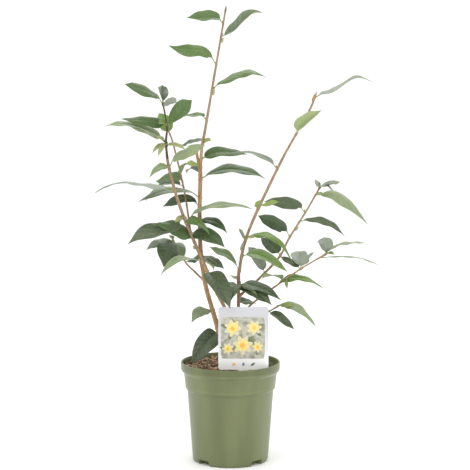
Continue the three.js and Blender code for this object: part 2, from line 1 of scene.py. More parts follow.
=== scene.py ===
"""Young camellia shrub in its green nursery pot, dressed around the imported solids.

Sizes are in millimetres, as in the part's source, and become metres when a piece is made. Relief in a finish
and the studio are in metres. +Z is up, -Y is the side that the care card faces, and the origin is the middle
of the pot's flat underside.
"""

import bpy
import numpy as np
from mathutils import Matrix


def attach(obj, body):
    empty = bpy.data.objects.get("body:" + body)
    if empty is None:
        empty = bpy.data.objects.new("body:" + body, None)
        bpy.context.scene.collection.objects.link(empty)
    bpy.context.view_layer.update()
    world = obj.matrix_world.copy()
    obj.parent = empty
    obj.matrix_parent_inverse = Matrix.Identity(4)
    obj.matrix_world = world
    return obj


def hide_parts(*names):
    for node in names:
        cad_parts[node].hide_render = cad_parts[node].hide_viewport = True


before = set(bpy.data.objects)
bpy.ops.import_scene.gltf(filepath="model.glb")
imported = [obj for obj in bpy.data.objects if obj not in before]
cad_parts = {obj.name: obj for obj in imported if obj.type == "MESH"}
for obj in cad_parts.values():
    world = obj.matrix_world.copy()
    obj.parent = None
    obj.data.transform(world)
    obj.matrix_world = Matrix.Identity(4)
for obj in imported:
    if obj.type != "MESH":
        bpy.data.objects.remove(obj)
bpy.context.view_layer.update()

# Pot: a 17 cm nursery pot, injection moulded in olive green plastic with a satin skin. A band and a rolled
# rim step out from its tapering wall, and four drainage notches are pressed into the corner of its base.
MM = 0.001
POT_SIDES = 288
ARC_POINTS = 5
NOTCH_COUNT = 4
NOTCH_HALF_ANGLE = 10
NOTCH_SIDE_ANGLE = 1.2
NOTCH_RADIUS = 53
NOTCH_TOP = 9
NOTCH_SPACING = 1.4
POT_WALL = 2
POT_FLOOR = 2.5
POT_HEIGHT = 171
POT_GREENS = [(0.3, (91, 99, 56)), (0.5, (100, 108, 62)), (0.72, (109, 117, 71))]
# Heights of the painted highlights along the moulded edges, how much lighter they are and how far that fades
# out
HIGHLIGHT_LINES = [(129.4, 131.2), (153.9, 155), (158.6, 159.7), (170.2, 170.4)]
HIGHLIGHT_STRENGTH = 1.16
HIGHLIGHT_FADE = 0.6
# Radii between which the wall passes into the rim's outer face, and the painted shade that darkens that face
RIM_FACE = (84.45, 84.65)
RIM_PAINTED_SHADE = [0.74, 0.76, 0.6, 1]

# Corners of the moulded wall, from the middle of the underside up to the rim and down inside to the
# floor: radius, height and how far each corner is rounded off
POT_CORNERS = [
    [0.6, 0, 0],
    [NOTCH_RADIUS, 0, 0],
    [64.6, 0, 4.2],
    [65.3, NOTCH_TOP, 0],
    [65.6, NOTCH_TOP + 3, 0],
    [73.9, 123.2, 0.9],
    [75.6, 124.6, 0.9],
    [77, 126.6, 0.8],
    [77.5, 128.4, 0.7],
    [77.3, 130, 0.8],
    [79.6, 151.4, 0.9],
    [80.4, 153.2, 0.8],
    [84.3, 156.9, 1.2],
    [84.6, 159.4, 0.9],
    [84.9, 170.9, 1.3],
    [82.2, 170.9, 1.1],
    [81.4, 160.5, 2],
    [77.8, 152, 1],
    [75.2, 129, 1],
    [72.1, 124, 1],
    [63.3, NOTCH_TOP + POT_WALL, 0],
    [62.7, POT_FLOOR, 4.5],
    [NOTCH_RADIUS - POT_WALL, POT_FLOOR, 0],
    [0.6, POT_FLOOR, 0],
]


def unit(vectors):
    """The same directions, each one long."""
    return vectors / np.linalg.norm(vectors, axis=-1, keepdims=True)


def rounded(corners):
    """An outline through corners of radius, height and rounding.

    Each corner becomes a parabola that leaves one side at the rounding's distance and meets the next side at
    the same distance, and a corner without rounding stays one point.
    """
    rows = np.array(corners, float)
    u = np.linspace(0, 1, ARC_POINTS)[:, None]
    points = [rows[:1, :2]]
    for before, corner, after in zip(rows[:-2, :2], rows[1:-1], rows[2:, :2]):
        place, rounding = corner[:2], corner[2]
        arc = (1 - u) ** 2 * unit(before - place) + u**2 * unit(after - place)
        points.append(place + rounding * arc if rounding else place[None])
    return np.concatenate([*points, rows[-1:, :2]])


def refined(outline, radius, top):
    """The same outline with extra points on the long sides that a notch will bend, outside radius and no
    higher than top."""
    pieces = []
    for begin, end in zip(outline[:-1], outline[1:]):
        bends = min(begin[0], end[0]) >= radius and max(begin[1], end[1]) <= top
        steps = int(np.ceil(np.linalg.norm(end - begin) / NOTCH_SPACING)) if bends else 1
        pieces.append(begin + (end - begin) * np.arange(steps)[:, None] / steps)
    return np.concatenate([*pieces, outline[-1:]])


def notched(outline, radius, top):
    """The outline as it runs through a notch: what lies outside radius and below top moves, by its share of
    the way along, onto a riser at that radius and a ledge at that height."""
    low = (outline[:, 0] > radius - 0.01) & (outline[:, 1] < top + 0.01)
    zone = outline[low]
    steps = np.linalg.norm(np.diff(zone, axis=0), axis=1)
    way = np.concatenate([[0], np.cumsum(steps)]) / steps.sum()
    if zone[0, 1] > zone[-1, 1]:
        way = 1 - way
    reach, bottom = zone[:, 0].max(), zone[:, 1].min()
    bend = (top - bottom) / (top - bottom + reach - radius)
    moved = outline.copy()
    moved[low, 0] = np.interp(way, [0, bend, 1], [radius, radius, reach])
    moved[low, 1] = np.interp(way, [0, bend, 1], [bottom, top, top])
    return moved


def pot_sections(inset):
    """The moulded wall's outline and the same outline through a notch. With an inset they run inside the
    wall by that much, for what fills the pot."""
    outline = rounded(POT_CORNERS)
    rim = int(np.argmax(outline[:, 1])) + 1
    outside = refined(outline[:rim], NOTCH_RADIUS, NOTCH_TOP)
    inside = refined(outline[rim:], NOTCH_RADIUS - POT_WALL, NOTCH_TOP + POT_WALL)
    if inset:
        filled = inside[::-1] - [inset, -inset]
        filled[0, 0] = inside[-1, 0]
        return filled, notched(filled, NOTCH_RADIUS - POT_WALL - inset, NOTCH_TOP + POT_WALL + inset)
    cut = [
        notched(outside, NOTCH_RADIUS, NOTCH_TOP),
        notched(inside, NOTCH_RADIUS - POT_WALL, NOTCH_TOP + POT_WALL),
    ]
    return np.concatenate([outside, inside]), np.concatenate(cut)


def even_turn(sides):
    """Even angles once round, from 0."""
    return 2 * np.pi * np.arange(sides) / sides


def turned(plain, cut, sides):
    """An outline turned about the upright axis. At an angle inside a notch a point follows the cut outline,
    elsewhere the plain one, and it passes between them over a narrow angle at the notch's sides."""
    angle = even_turn(sides)
    pitch = 360 / NOTCH_COUNT
    off_middle = np.abs(np.degrees(angle) % pitch - pitch / 2)
    share = np.clip((NOTCH_HALF_ANGLE - off_middle) / NOTCH_SIDE_ANGLE + 0.5, 0, 1)[None, :, None]
    section = plain[:, None] * (1 - share) + cut[:, None] * share
    radius, height = section[..., 0], section[..., 1]
    return np.stack([radius * np.cos(angle), radius * np.sin(angle), height], axis=-1)


def skin(rings):
    """Closed skins over rows of rings, as points, four-cornered faces and three-cornered faces.

    rings is an array (skins, rings, points of a ring, 3). Neighbouring rings are joined face by face, each
    end is closed by a fan about the middle of its ring, and faces turn over where the volume is negative.
    """
    count, length, sides = rings.shape[:3]
    middles = rings[:, [0, -1]].mean(axis=2)
    points = np.concatenate([rings.reshape(count, -1, 3), middles], axis=1)
    place = np.arange(length * sides).reshape(length, sides)
    following = np.roll(place, -1, axis=1)
    quads = np.stack([place[:-1], following[:-1], following[1:], place[1:]], axis=-1)
    middle = np.full((sides, 2), [length * sides, length * sides + 1]).T
    fans = np.stack([[following[0], place[-1]], [place[0], following[-1]], middle], axis=-1)
    first = points[0] - points[0].mean(axis=0)
    a, b, c, d = (first[quads[..., corner]] for corner in range(4))
    if (a * (np.cross(b, c) + np.cross(c, d))).sum() < 0:
        quads, fans = quads[..., ::-1], fans[..., ::-1]
    offset = np.arange(count) * (length * sides + 2)
    quads = quads.reshape(1, -1, 4) + offset[:, None, None]
    fans = fans.reshape(1, -1, 3) + offset[:, None, None]
    return points.reshape(-1, 3), quads.reshape(-1, 4), fans.reshape(-1, 3)


def add_piece(name, rings, finishes, nodes=(), face_finish=None, marks=None, *, crease):
    """Makes one piece from rings as skin() takes them and lets it ride on the body.

    face_finish holds the numbers of the finishes of the four-cornered faces and of the three-cornered ones,
    each shared out evenly in order. Edges that turn by more than crease degrees stay sharp. marks has three
    values for each point of the rings, for the materials, and the points that close the ends get none.
    """
    points, quads, triangles = skin(rings)
    corners = np.concatenate([quads.ravel(), triangles.ravel()])
    starts = np.concatenate([4 * np.arange(len(quads)), quads.size + 3 * np.arange(len(triangles))])
    mesh = bpy.data.meshes.new(name)
    mesh.vertices.add(len(points))
    mesh.vertices.foreach_set("co", (points * MM).astype(np.float32).ravel())
    mesh.loops.add(len(corners))
    mesh.loops.foreach_set("vertex_index", corners.astype(np.int32))
    mesh.polygons.add(len(starts))
    mesh.polygons.foreach_set("loop_start", starts.astype(np.int32))
    for finish in finishes:
        mesh.materials.append(finish)
    if face_finish is not None:
        pairs = zip(face_finish, (quads, triangles))
        shared = np.concatenate([np.repeat(kinds, len(faces) // len(kinds)) for kinds, faces in pairs])
        mesh.polygons.foreach_set("material_index", shared.astype(np.int32))
    if marks is not None:
        padded = np.pad(marks.reshape(len(marks), -1, 3), ((0, 0), (0, 2), (0, 0)))
        mesh.attributes.new("marks", "FLOAT_VECTOR", "POINT").data.foreach_set("vector", padded.ravel())
    mesh.update(calc_edges=True)
    mesh.set_sharp_from_angle(angle=np.radians(crease))
    piece = bpy.data.objects.new(name, mesh)
    bpy.context.scene.collection.objects.link(piece)
    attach(piece, "root")
    if nodes:
        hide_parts(*nodes)


def linear(colour):
    """A colour given as 0 to 255 on a screen, in the linear scale that the shaders use."""
    values = np.array(colour) / 255
    return [*np.where(values < 0.04045, values / 12.92, ((values + 0.055) / 1.055) ** 2.4), 1]


def feed(finish, node, inputs):
    """Gives inputs of a node of a finish their values, or the outputs of other nodes that they follow."""
    for name, value in inputs.items():
        if isinstance(value, bpy.types.NodeSocket):
            finish.node_tree.links.new(value, node.inputs[name])
        else:
            node.inputs[name].default_value = value


def add_node(finish, kind, inputs, output, **settings):
    """Adds a node of a kind to a finish, with its settings and inputs, and gives one of its outputs."""
    node = finish.node_tree.nodes.new(f"ShaderNode{kind}")
    for setting, value in settings.items():
        setattr(node, setting, value)
    feed(finish, node, inputs)
    return node.outputs[output]


def new_finish(name, roughness, coat=0.0, coat_roughness=0.2, specular=0.5):
    """A material, and the one shader that its pattern feeds."""
    finish = bpy.data.materials.new(name)
    finish.use_nodes = True
    shader = finish.node_tree.nodes["Principled BSDF"]
    gloss = {"Roughness": roughness, "Specular IOR Level": specular}
    feed(finish, shader, {**gloss, "Coat Weight": coat, "Coat Roughness": coat_roughness})
    return finish, shader


def object_noise(finish, scale, detail=4, stretch=(1, 1, 1)):
    """Noise on the piece's own coordinates, with scale in waves to the metre, squeezed along each axis by
    stretch. Gives the noise's value."""
    place = add_node(finish, "TexCoord", {}, "Object")
    squeezed = add_node(finish, "Mapping", {"Vector": place, "Scale": stretch}, "Vector")
    return add_node(finish, "TexNoise", {"Vector": squeezed, "Scale": scale, "Detail": detail}, "Fac")


def colour_ramp(finish, value, stops):
    """A colour looked up from a value by stops of place and linear colour."""
    looked_up = add_node(finish, "ValToRGB", {"Fac": value}, "Color")
    band = looked_up.node.color_ramp
    for index, (place, colour) in enumerate(stops):
        stop = band.elements[index] if index < 2 else band.elements.new(place)
        stop.position = place
        stop.color = colour
    return looked_up


def spread(finish, value, low, high, span=(0.3, 0.7)):
    """A value spread from its span, usually the one where noise mostly lies, over a wanted range."""
    limits = {"From Min": span[0], "From Max": span[1], "To Min": low, "To Max": high}
    return add_node(finish, "MapRange", {"Value": value, **limits}, "Result")


def mixed(finish, share, under, over, way="MIX"):
    """One colour laid over another by a share, in one of a mix node's ways."""
    colours = {"Factor": share, "A": under, "B": over}
    return add_node(finish, "Mix", colours, "Result", data_type="RGBA", blend_type=way)


def height_share(finish, low, high):
    """How far up a point of a piece lies between two heights, from 0 to 1."""
    place = add_node(finish, "TexCoord", {}, "Object")
    height = add_node(finish, "SeparateXYZ", {"Vector": place}, "Z")
    return spread(finish, height, 0, 1, (low * MM, high * MM))


def add_relief(finish, shader, value, height, strength):
    """Fine surface relief of a height in metres."""
    relief = {"Height": value, "Distance": height, "Strength": strength}
    feed(finish, shader, {"Normal": add_node(finish, "Bump", relief, "Normal")})


def moulded_plastic():
    """Olive polypropylene: cloudy flow bands that run up the wall, and a finely grained satin skin. Painted
    highlights make it pale along the moulded edges, and painted shade makes the rim's outer face deeper."""
    finish, shader = new_finish("olive_plastic", 0.42, coat=0.36, coat_roughness=0.4, specular=0.62)
    flow = object_noise(finish, 26, detail=3, stretch=(1, 1, 0.16))
    cloudy = colour_ramp(finish, flow, [(place, linear(colour)) for place, colour in POT_GREENS])
    plain, edge = [0.5, 0.5, 0.5, 1], [0.5 * HIGHLIGHT_STRENGTH] * 3 + [1]
    levels = [(0, plain)]
    for low, high in HIGHLIGHT_LINES:
        levels += [(low - HIGHLIGHT_FADE, plain), (low, edge), (high, edge), (high + HIGHLIGHT_FADE, plain)]
    levels = [(level / POT_HEIGHT, colour) for level, colour in levels]
    # painted highlights: thin bands at the heights of the moulded edges, lighter than the wall's colour
    highlight_lines = colour_ramp(finish, height_share(finish, 0, POT_HEIGHT), levels)
    highlighted = mixed(finish, 1, cloudy, highlight_lines, "OVERLAY")
    place = add_node(finish, "TexCoord", {}, "Object")
    flat = add_node(finish, "VectorMath", {0: place, 1: (1, 1, 0)}, "Vector", operation="MULTIPLY")
    radius = add_node(finish, "VectorMath", {0: flat}, "Value", operation="LENGTH")
    on_rim = spread(finish, radius, 0, 1, (RIM_FACE[0] * MM, RIM_FACE[1] * MM))
    grain = object_noise(finish, 900, detail=2)
    # the rim's outer face is multiplied darker: painted shade
    feed(finish, shader, {
        "Base Color": mixed(finish, on_rim, highlighted, RIM_PAINTED_SHADE, "MULTIPLY"),
        "Roughness": spread(finish, grain, 0.36, 0.48),
    })
    add_relief(finish, shader, grain, height=0.00006, strength=0.35)
    return finish


pot = turned(*pot_sections(0), POT_SIDES)
add_piece("pot_moulding", pot[None], [moulded_plastic()], ["pot"], crease=28)

# Compost: composted bark filled to a finger's breadth below the rim and heaped up a little at the back and
# left. Its top is uneven and settles at the wall, and loose chips of bark lie on it in several browns with
# pinkish, freshly broken faces.
SOIL_TOP = 159.5
SOIL_CLEARANCE = 0.4
SOIL_EDGE_DROP = 3
SOIL_SIDES = 120
SOIL_RINGS = 40
# Heights and wavelengths of the uneven top
SOIL_RELIEF = [(1.1, 34), (0.6, 13), (0.35, 6)]
# Height of the heap, where it rises from front to back and falls off to the right, and how much wider it is
SOIL_HEAP = 5.5
HEAP_RISE_Y = (-40, 0)
HEAP_FALL_X = (10, 50)
HEAP_SPREAD = 0.016
CHIP_COUNT = 1500
CHIP_SPREAD_RADIUS = 74
CHIP_LENGTH = (3.5, 12)
CHIP_LENGTH_SPREAD = (1.2, 3.2)
CHIP_WIDTH_SHARE = (0.22, 0.5)
CHIP_THICKNESS_SHARE = (0.3, 0.7)
CHIP_LIFT_SHARE = (0.1, 0.6)
CHIP_TILT = 0.3
CHIP_ROLL = 0.35
CHIP_JITTER = (0.7, 1.25)
CHIP_RING_SHARES = [-0.5, -0.33, 0.3, 0.5]
CHIP_RING_WIDTHS = [0.45, 1, 0.9, 0.5]
CHIP_SIDES = 6
CHIP_KIND_SHARES = [0.3, 0.32, 0.13, 0.25]
# No chip lies in the ground that the stems' feet and the card's spike take up
STEM_FEET = [(-3.4, 6.1), (4.6, -8), (26.5, 4)]
STEM_ROOM = 10
SPIKE_PLACE = (22, -45)
SPIKE_HALF_WIDTH = 9
SPIKE_ROOM = 3
WAVE_COUNT = 7
growth = np.random.default_rng(20)


def waves(places, wavelength):
    """Smooth uneven relief, mostly between -1 and 1: a sum of sines that run in seeded directions."""
    directions = unit(growth.normal(size=(WAVE_COUNT, places.shape[-1])))
    phases = growth.uniform(0, 2 * np.pi, WAVE_COUNT)
    sines = np.sin(places @ directions.T * (2 * np.pi / wavelength) + phases)
    return sines.sum(axis=-1) / np.sqrt(WAVE_COUNT)


def smooth_step(value, low, high):
    """0 below low, 1 above high, and an even S between them."""
    u = np.clip((value - low) / (high - low), 0, 1)
    return u * u * (3 - 2 * u)


def clouded_finish(name, stops, scale, detail, relief=0.0, strength=1.0, stretch=(1, 1, 1), **gloss):
    """A finish whose colour follows one noise through stops of place and screen colour, with relief from the
    same noise, of a height in metres, where it has any."""
    finish, shader = new_finish(name, **gloss)
    tone = object_noise(finish, scale, detail, stretch)
    stops = [(place, linear(colour)) for place, colour in stops]
    feed(finish, shader, {"Base Color": colour_ramp(finish, tone, stops)})
    if relief:
        add_relief(finish, shader, tone, relief, strength)
    return finish


def compost_finish(name, dark, light, roughness):
    """Fibrous bark: two browns in long patches, with rough broken fibres."""
    fibres = {"scale": 420, "detail": 5, "stretch": (1, 0.35, 1), "relief": 0.0006}
    return clouded_finish(name, [(0.36, dark), (0.62, light)], **fibres, roughness=roughness, specular=0.25)


def compost_plug():
    """The pot's inner outline closed by an uneven top, whose rings shrink evenly to the middle and which is
    heaped up at the back and left."""
    plain, cut = pot_sections(SOIL_CLEARANCE)
    low = plain[:, 1] < SOIL_TOP - SOIL_EDGE_DROP
    body = turned(plain[low], cut[low], SOIL_SIDES)
    share = np.linspace(1, 0.01, SOIL_RINGS)[:, None, None]
    top = body[-1] * share
    flat = top[..., :2]
    relief = sum(height * waves(flat, wavelength) for height, wavelength in SOIL_RELIEF)
    heap = smooth_step(flat[..., 1], *HEAP_RISE_Y) * (1 - smooth_step(flat[..., 0], *HEAP_FALL_X))
    drop = SOIL_EDGE_DROP * share[..., 0] ** 6 * (1 - 0.8 * heap)
    top[..., 2] = SOIL_TOP + SOIL_HEAP * heap - drop + relief * (1 - share[..., 0] ** 12)
    top[..., :2] *= 1 + HEAP_SPREAD * heap[..., None]
    return np.concatenate([body, top]), top


def bark_chips(surface):
    """Splinters of bark strewn over the plug's top: each is four rings of six points about a line that lies
    in a seeded direction, with jittered corners, so that no two are alike."""
    spots = surface.reshape(-1, 3)
    radius = CHIP_SPREAD_RADIUS * np.sqrt(growth.uniform(0, 1, CHIP_COUNT))
    angle = growth.uniform(0, 2 * np.pi, CHIP_COUNT)
    x, y = radius * np.cos(angle), radius * np.sin(angle)
    beside_spike = np.maximum(np.abs(x - SPIKE_PLACE[0]) - SPIKE_HALF_WIDTH, 0)
    clear = np.abs(y - SPIKE_PLACE[1]) + beside_spike > SPIKE_ROOM
    for foot in STEM_FEET:
        clear &= np.hypot(x - foot[0], y - foot[1]) > STEM_ROOM
    x, y = x[clear], y[clear]
    count = len(x)
    nearest = np.argmin((spots[None, :, 0] - x[:, None]) ** 2 + (spots[None, :, 1] - y[:, None]) ** 2, axis=1)
    length = CHIP_LENGTH[0] + (CHIP_LENGTH[1] - CHIP_LENGTH[0]) * growth.beta(*CHIP_LENGTH_SPREAD, count)
    width = length * growth.uniform(*CHIP_WIDTH_SHARE, count)
    thickness = width * growth.uniform(*CHIP_THICKNESS_SHARE, count)
    z = spots[nearest, 2] + thickness * growth.uniform(*CHIP_LIFT_SHARE, count)
    yaw = growth.uniform(0, 2 * np.pi, count)
    tilt = growth.normal(0, CHIP_TILT, count)
    along = np.stack([np.cos(yaw) * np.cos(tilt), np.sin(yaw) * np.cos(tilt), np.sin(tilt)], axis=-1)
    side = np.stack([-np.sin(yaw), np.cos(yaw), growth.normal(0, CHIP_ROLL, count)], axis=-1)
    side = unit(side - along * (side * along).sum(axis=-1, keepdims=True))
    up = np.cross(along, side)
    turn = even_turn(CHIP_SIDES)
    jitter = growth.uniform(*CHIP_JITTER, (count, len(CHIP_RING_WIDTHS), CHIP_SIDES, 1))
    ring = np.array(CHIP_RING_WIDTHS)[None, :, None, None] * jitter
    spot = np.stack([x, y, z], axis=-1)[:, None, None]
    shares = np.array(CHIP_RING_SHARES)[None, :, None, None] * length[:, None, None, None]
    across = ring * np.cos(turn)[:, None] * 0.5 * width[:, None, None, None]
    lift = ring * np.sin(turn)[:, None] * 0.5 * thickness[:, None, None, None]
    return spot + along[:, None, None] * shares + side[:, None, None] * across + up[:, None, None] * lift


plug, plug_top = compost_plug()
crumb = compost_finish("compost_crumb", (62, 53, 41), (124, 108, 82), 0.95)
add_piece("compost_plug", plug[None], [crumb], ["soil"], crease=60)

chips = bark_chips(plug_top)
chip_finishes = [
    compost_finish("chip_red_brown", (98, 78, 60), (150, 124, 98), 0.85),
    compost_finish("chip_tan", (148, 122, 94), (202, 174, 142), 0.8),
    compost_finish("chip_pink", (158, 118, 104), (206, 172, 156), 0.85),
    compost_finish("chip_dark", (50, 40, 32), (92, 72, 56), 0.9),
]
chip_kinds = growth.choice(len(chip_finishes), len(chips), p=CHIP_KIND_SHARES)
add_piece("compost_chips", chips, chip_finishes, face_finish=(chip_kinds, chip_kinds), crease=30)

# Care card: thin white gloss plastic cut with a spike that is pushed into the compost. Its print is a plain
# picture of small blossoms on a soft ground, with three simple care signs below, a sun, a drop and a leaf.
CARD_CENTRE_X = 22
CARD_BACK_Y = -44.5
CARD_THICKNESS = 0.9
CARD_WIDTH = 84.5
CARD_BOTTOM = 165
CARD_TOP = 272
CARD_CORNER = 4.5
CARD_EDGE = 0.25
# Greys of the card by height: the whiter bottom is painted light that offsets the shade there
CARD_GREYS_AND_PAINTED_LIGHT = [(0.14, (246, 246, 245)), (0.32, (220, 220, 222)), (0.75, (196, 196, 201))]
SPIKE_WIDTH = 16
SPIKE_TIP = 96
SPIKE_TAPER = 18
PRINT_STEP = 0.004
PRINT_POINTS = 40
# The print's places are across and up, and a power says how square a rounded box is
WINDOW_CENTRE = (21, 219.5)
WINDOW_SIZE = (74, 71)
WINDOW_POWER = 24
BLOSSOMS = [(4, 236, 15), (40, 237, 13), (21, 207, 17), (46, 204, 10), (-4, 201, 10)]
BLOSSOM_LEAVES = 2
# Rings of a blossom in the order of printing: how many shapes, where the first sits in steps of the ring,
# whether the ring turns from blossom to blossom, reach, length and width as shares of its size, and ink
BLOSSOM_RINGS = [
    (7, 0, 1, 0.58, 0.86, 0.43, "outer_petal"),
    (7, 0.5, 1, 0.36, 0.6, 0.3, "inner_petal"),
    (1, 0, 0, 0, 0.4, 0.4, "centre"),
    (14, 0, 0, 0.27, 0.07, 0.05, "stamen"),
]
SUN_PLACE, SUN_RADIUS, SUN_RAY, SUN_RAYS = (6, 174.5), 2.5, 1.1, 8
DROP_PLACE, DROP_RADIUS, DROP_POINT = (22, 174), 2.3, 1.5
LEAF_PLACE, LEAF_SIZE, LEAF_HEADING = (38, 174.5), (8.5, 3.6), 38
RULE_LENGTH = 70
RULE_POWER = 40
# Height and thickness of each thin rule above the picture
RULES = [(264, 0.7), (261.5, 0.35)]
# Tones of the inks, which lie in soft patches
INKS = {
    "ground": [(150, 152, 138), (188, 186, 168), (130, 132, 112)],
    "leaf": [(92, 104, 72), (122, 134, 92)],
    "outer_petal": [(208, 202, 178), (222, 208, 150)],
    "inner_petal": [(236, 212, 96), (242, 222, 132)],
    "centre": [(232, 164, 52), (240, 186, 72)],
    "stamen": [(206, 118, 44), (222, 138, 58)],
    "drop": [(112, 132, 168), (132, 152, 184)],
    "rule": [(186, 188, 196), (198, 200, 206)],
}


def card_body():
    """The card's outline as a width at each height, rounded at its corners and narrowed to the spike, with a
    section of that width whose long edges are eased."""
    turn = np.linspace(0, np.pi / 2, 9)
    sine, cosine = CARD_CORNER * np.sin(turn), CARD_CORNER * np.cos(turn)
    flat = CARD_WIDTH / 2 - CARD_CORNER
    low = np.stack([flat + sine, CARD_BOTTOM + CARD_CORNER - cosine], axis=-1)
    high = np.stack([flat + cosine, CARD_TOP - CARD_CORNER + sine], axis=-1)
    foot = CARD_BOTTOM - 0.01
    spike = [[0.4, SPIKE_TIP], [SPIKE_WIDTH / 2, SPIKE_TIP + SPIKE_TAPER], [SPIKE_WIDTH / 2, foot]]
    rows = np.concatenate([spike, low, high])
    side = np.array([-1, -1, 1, 1, 1, 1, -1, -1])
    inward = np.array([0, 1, 1, 0, 0, 1, 1, 0]) * CARD_EDGE * -side
    depth = np.array([-1, -1, -1, -1, 1, 1, 1, 1]) * 0.5 * CARD_THICKNESS
    depth += np.array([1, 0, 0, 1, -1, 0, 0, -1]) * CARD_EDGE
    x = CARD_CENTRE_X + rows[:, :1] * side + inward
    y = CARD_BACK_Y - CARD_THICKNESS / 2 + np.broadcast_to(depth, x.shape)
    return np.stack([x, y, np.broadcast_to(rows[:, 1:], x.shape)], axis=-1)


def card_finish():
    """White gloss card, greyer towards its top and whiter towards the bottom, where the whiter grey is
    painted light that offsets the shade there.
    """
    finish, shader = new_finish("card_white", 0.3, coat=0.4, coat_roughness=0.15)
    greys_and_painted_light = [(place, linear(colour)) for place, colour in CARD_GREYS_AND_PAINTED_LIGHT]
    feed(finish, shader, {
        "Base Color": colour_ramp(finish, height_share(finish, CARD_BOTTOM, CARD_TOP), greys_and_painted_light),
        "Roughness": spread(finish, object_noise(finish, 70, detail=3), 0.27, 0.33),
    })
    return finish


def ink_finish(name, tones):
    """Gloss ink with a soft uneven tone."""
    stops = list(zip(np.linspace(0.35, 0.65, len(tones)), tones))
    gloss = {"roughness": 0.3, "coat": 0.4, "coat_roughness": 0.15}
    return clouded_finish(f"ink_{name}", stops, scale=70, detail=3, **gloss)


def printed(centre, radii, order):
    """A printed shape: an outline at radii about its centre, on an even turn, raised a hair above the card
    by its place in the order of printing, so that later colours lie on earlier ones."""
    turn = even_turn(PRINT_POINTS)
    front = CARD_BACK_Y - CARD_THICKNESS
    x = centre[0] + radii * np.cos(turn)
    z = centre[1] + radii * np.sin(turn)
    depths = [front + PRINT_STEP, front - PRINT_STEP * order]
    return np.stack([np.stack([x, np.full_like(x, depth), z], axis=-1) for depth in depths])


def box_radii(width, height, power):
    """Radii of a rounded box: those of a superellipse, which is the squarer the higher its power."""
    turn = even_turn(PRINT_POINTS)
    across = np.abs(np.cos(turn) / (width / 2)) ** power + np.abs(np.sin(turn) / (height / 2)) ** power
    return across ** (-1 / power)


def petal_radii(length, width, heading):
    """Radii of a petal seen from its own middle: an ellipse with its long axis along heading."""
    turn = even_turn(PRINT_POINTS) - heading
    return 1 / np.hypot(np.cos(turn) / (length / 2), np.sin(turn) / (width / 2))


def blossom(x, z, size, number):
    """A small yellow blossom as printed shapes, each with its turn in the printing and its ink: leaves in
    seeded directions, two rings of petals, a centre and a circle of stamens."""
    rows = [(growth.uniform(0, 2 * np.pi), 0.85, 1.1, 0.42, 2, "leaf") for _ in range(BLOSSOM_LEAVES)]
    for order, (count, first, turns, *shares, ink) in enumerate(BLOSSOM_RINGS):
        headings = 2 * np.pi * (np.arange(count) + first) / count + turns * number
        rows += [(heading, *shares, 3 + order, ink) for heading in headings]
    shapes = []
    for heading, reach, length, width, order, ink in rows:
        place = (x + reach * size * np.cos(heading), z + reach * size * np.sin(heading))
        shapes.append((place, petal_radii(length * size, width * size, heading), order, ink))
    return shapes


def care_signs():
    """Three plain signs in a row below the picture: a rayed sun, a drop and a leaf."""
    turn = even_turn(PRINT_POINTS)
    return [
        (SUN_PLACE, SUN_RADIUS + SUN_RAY * np.cos(SUN_RAYS * turn), 2, "centre"),
        (DROP_PLACE, DROP_RADIUS + DROP_POINT * np.maximum(np.sin(turn), 0) ** 6, 2, "drop"),
        (LEAF_PLACE, petal_radii(*LEAF_SIZE, np.radians(LEAF_HEADING)), 2, "leaf"),
    ]


add_piece("care_card", card_body()[None], [card_finish()], ["care_label"], crease=30)

shapes = [(WINDOW_CENTRE, box_radii(*WINDOW_SIZE, WINDOW_POWER), 1, "ground")]
for number, (x, z, size) in enumerate(BLOSSOMS):
    shapes += blossom(x, z, size, number)
shapes += care_signs()
for height, thickness in RULES:
    shapes.append(((CARD_CENTRE_X, height), box_radii(RULE_LENGTH, thickness, RULE_POWER), 1, "rule"))
shapes.sort(key=lambda shape: shape[2])
prints = np.stack([printed(shape[0], shape[1], order + 1) for order, shape in enumerate(shapes)])
inks = [ink_finish(name, tones) for name, tones in INKS.items()]
ink_kinds = np.array([list(INKS).index(shape[3]) for shape in shapes])
add_piece("card_print", prints, inks, face_finish=(ink_kinds, ink_kinds), crease=30)

# Stems, boughs and twigs: three stems rise from the compost and carry side boughs. The bark is smooth and tan
# on the old wood, pinkish brown on young twigs, with fine fissures, scars and a swelling at every leaf.
BARK_STEP = 1.5
BARK_SIDES = 20
STEM_FOOT = 157.5
FLARE_RADIUS = 2.6
FLARE_HEIGHT = 9
FLARE_BOTTOM = 160
COLLAR_RADIUS = 0.9
COLLAR_LENGTH = 4
YOUNG_RADIUS = 2.05
YOUNG_FADE = 0.6
TWIG_BARK = 0.3
FIRST_SCAR = 14
SCAR_SPACING = 31
# Half the height of a swollen node, how proud it stands, at least and for its stem's radius, and its scar
NODE_LENGTH = 2.2
NODE_SWELLING = 0.28
NODE_SHARE = 0.08
SCAR_DEPTH = 0.12
# Depth of the fissures, their wavelengths round the stem, and how much longer they run along it
FISSURE_DEPTH = 0.05
FISSURE_WAVES = (1.9, 5)
FISSURE_RUN = 9
# Three browns of each bark, from pale to dark, and its roughness
BARKS = {
    "tan": [(190, 158, 118), (170, 136, 98), (134, 102, 72), 0.72],
    "young": [(176, 149, 120), (154, 127, 99), (122, 98, 74), 0.6],
    "dark": [(112, 88, 72), (92, 70, 56), (68, 50, 42), 0.65],
    "red": [(170, 136, 110), (148, 115, 91), (114, 85, 66), 0.65],
    "cut": [(200, 176, 140), (182, 154, 118), (156, 128, 96), 0.8],
}
# Stretches of a shoot, between two heights, that have another bark than their thickness says
OTHER_BARK = [
    ("leader", 335, 425, "red"),
    ("left", 360, 520, "young"),
    ("left", 520, 700, "dark"),
    ("back_left", 330, 620, "red"),
    ("right", 226, 330, "red"),
    ("right", 330, 520, "young"),
]
# Names of a shoot's leafy masses from its foot up, by how many it has
MASS_NAMES = [[], ["foliage"], ["low_foliage", "top_foliage"], ["low_foliage", "mid_foliage", "top_foliage"]]
SHOOTS = []


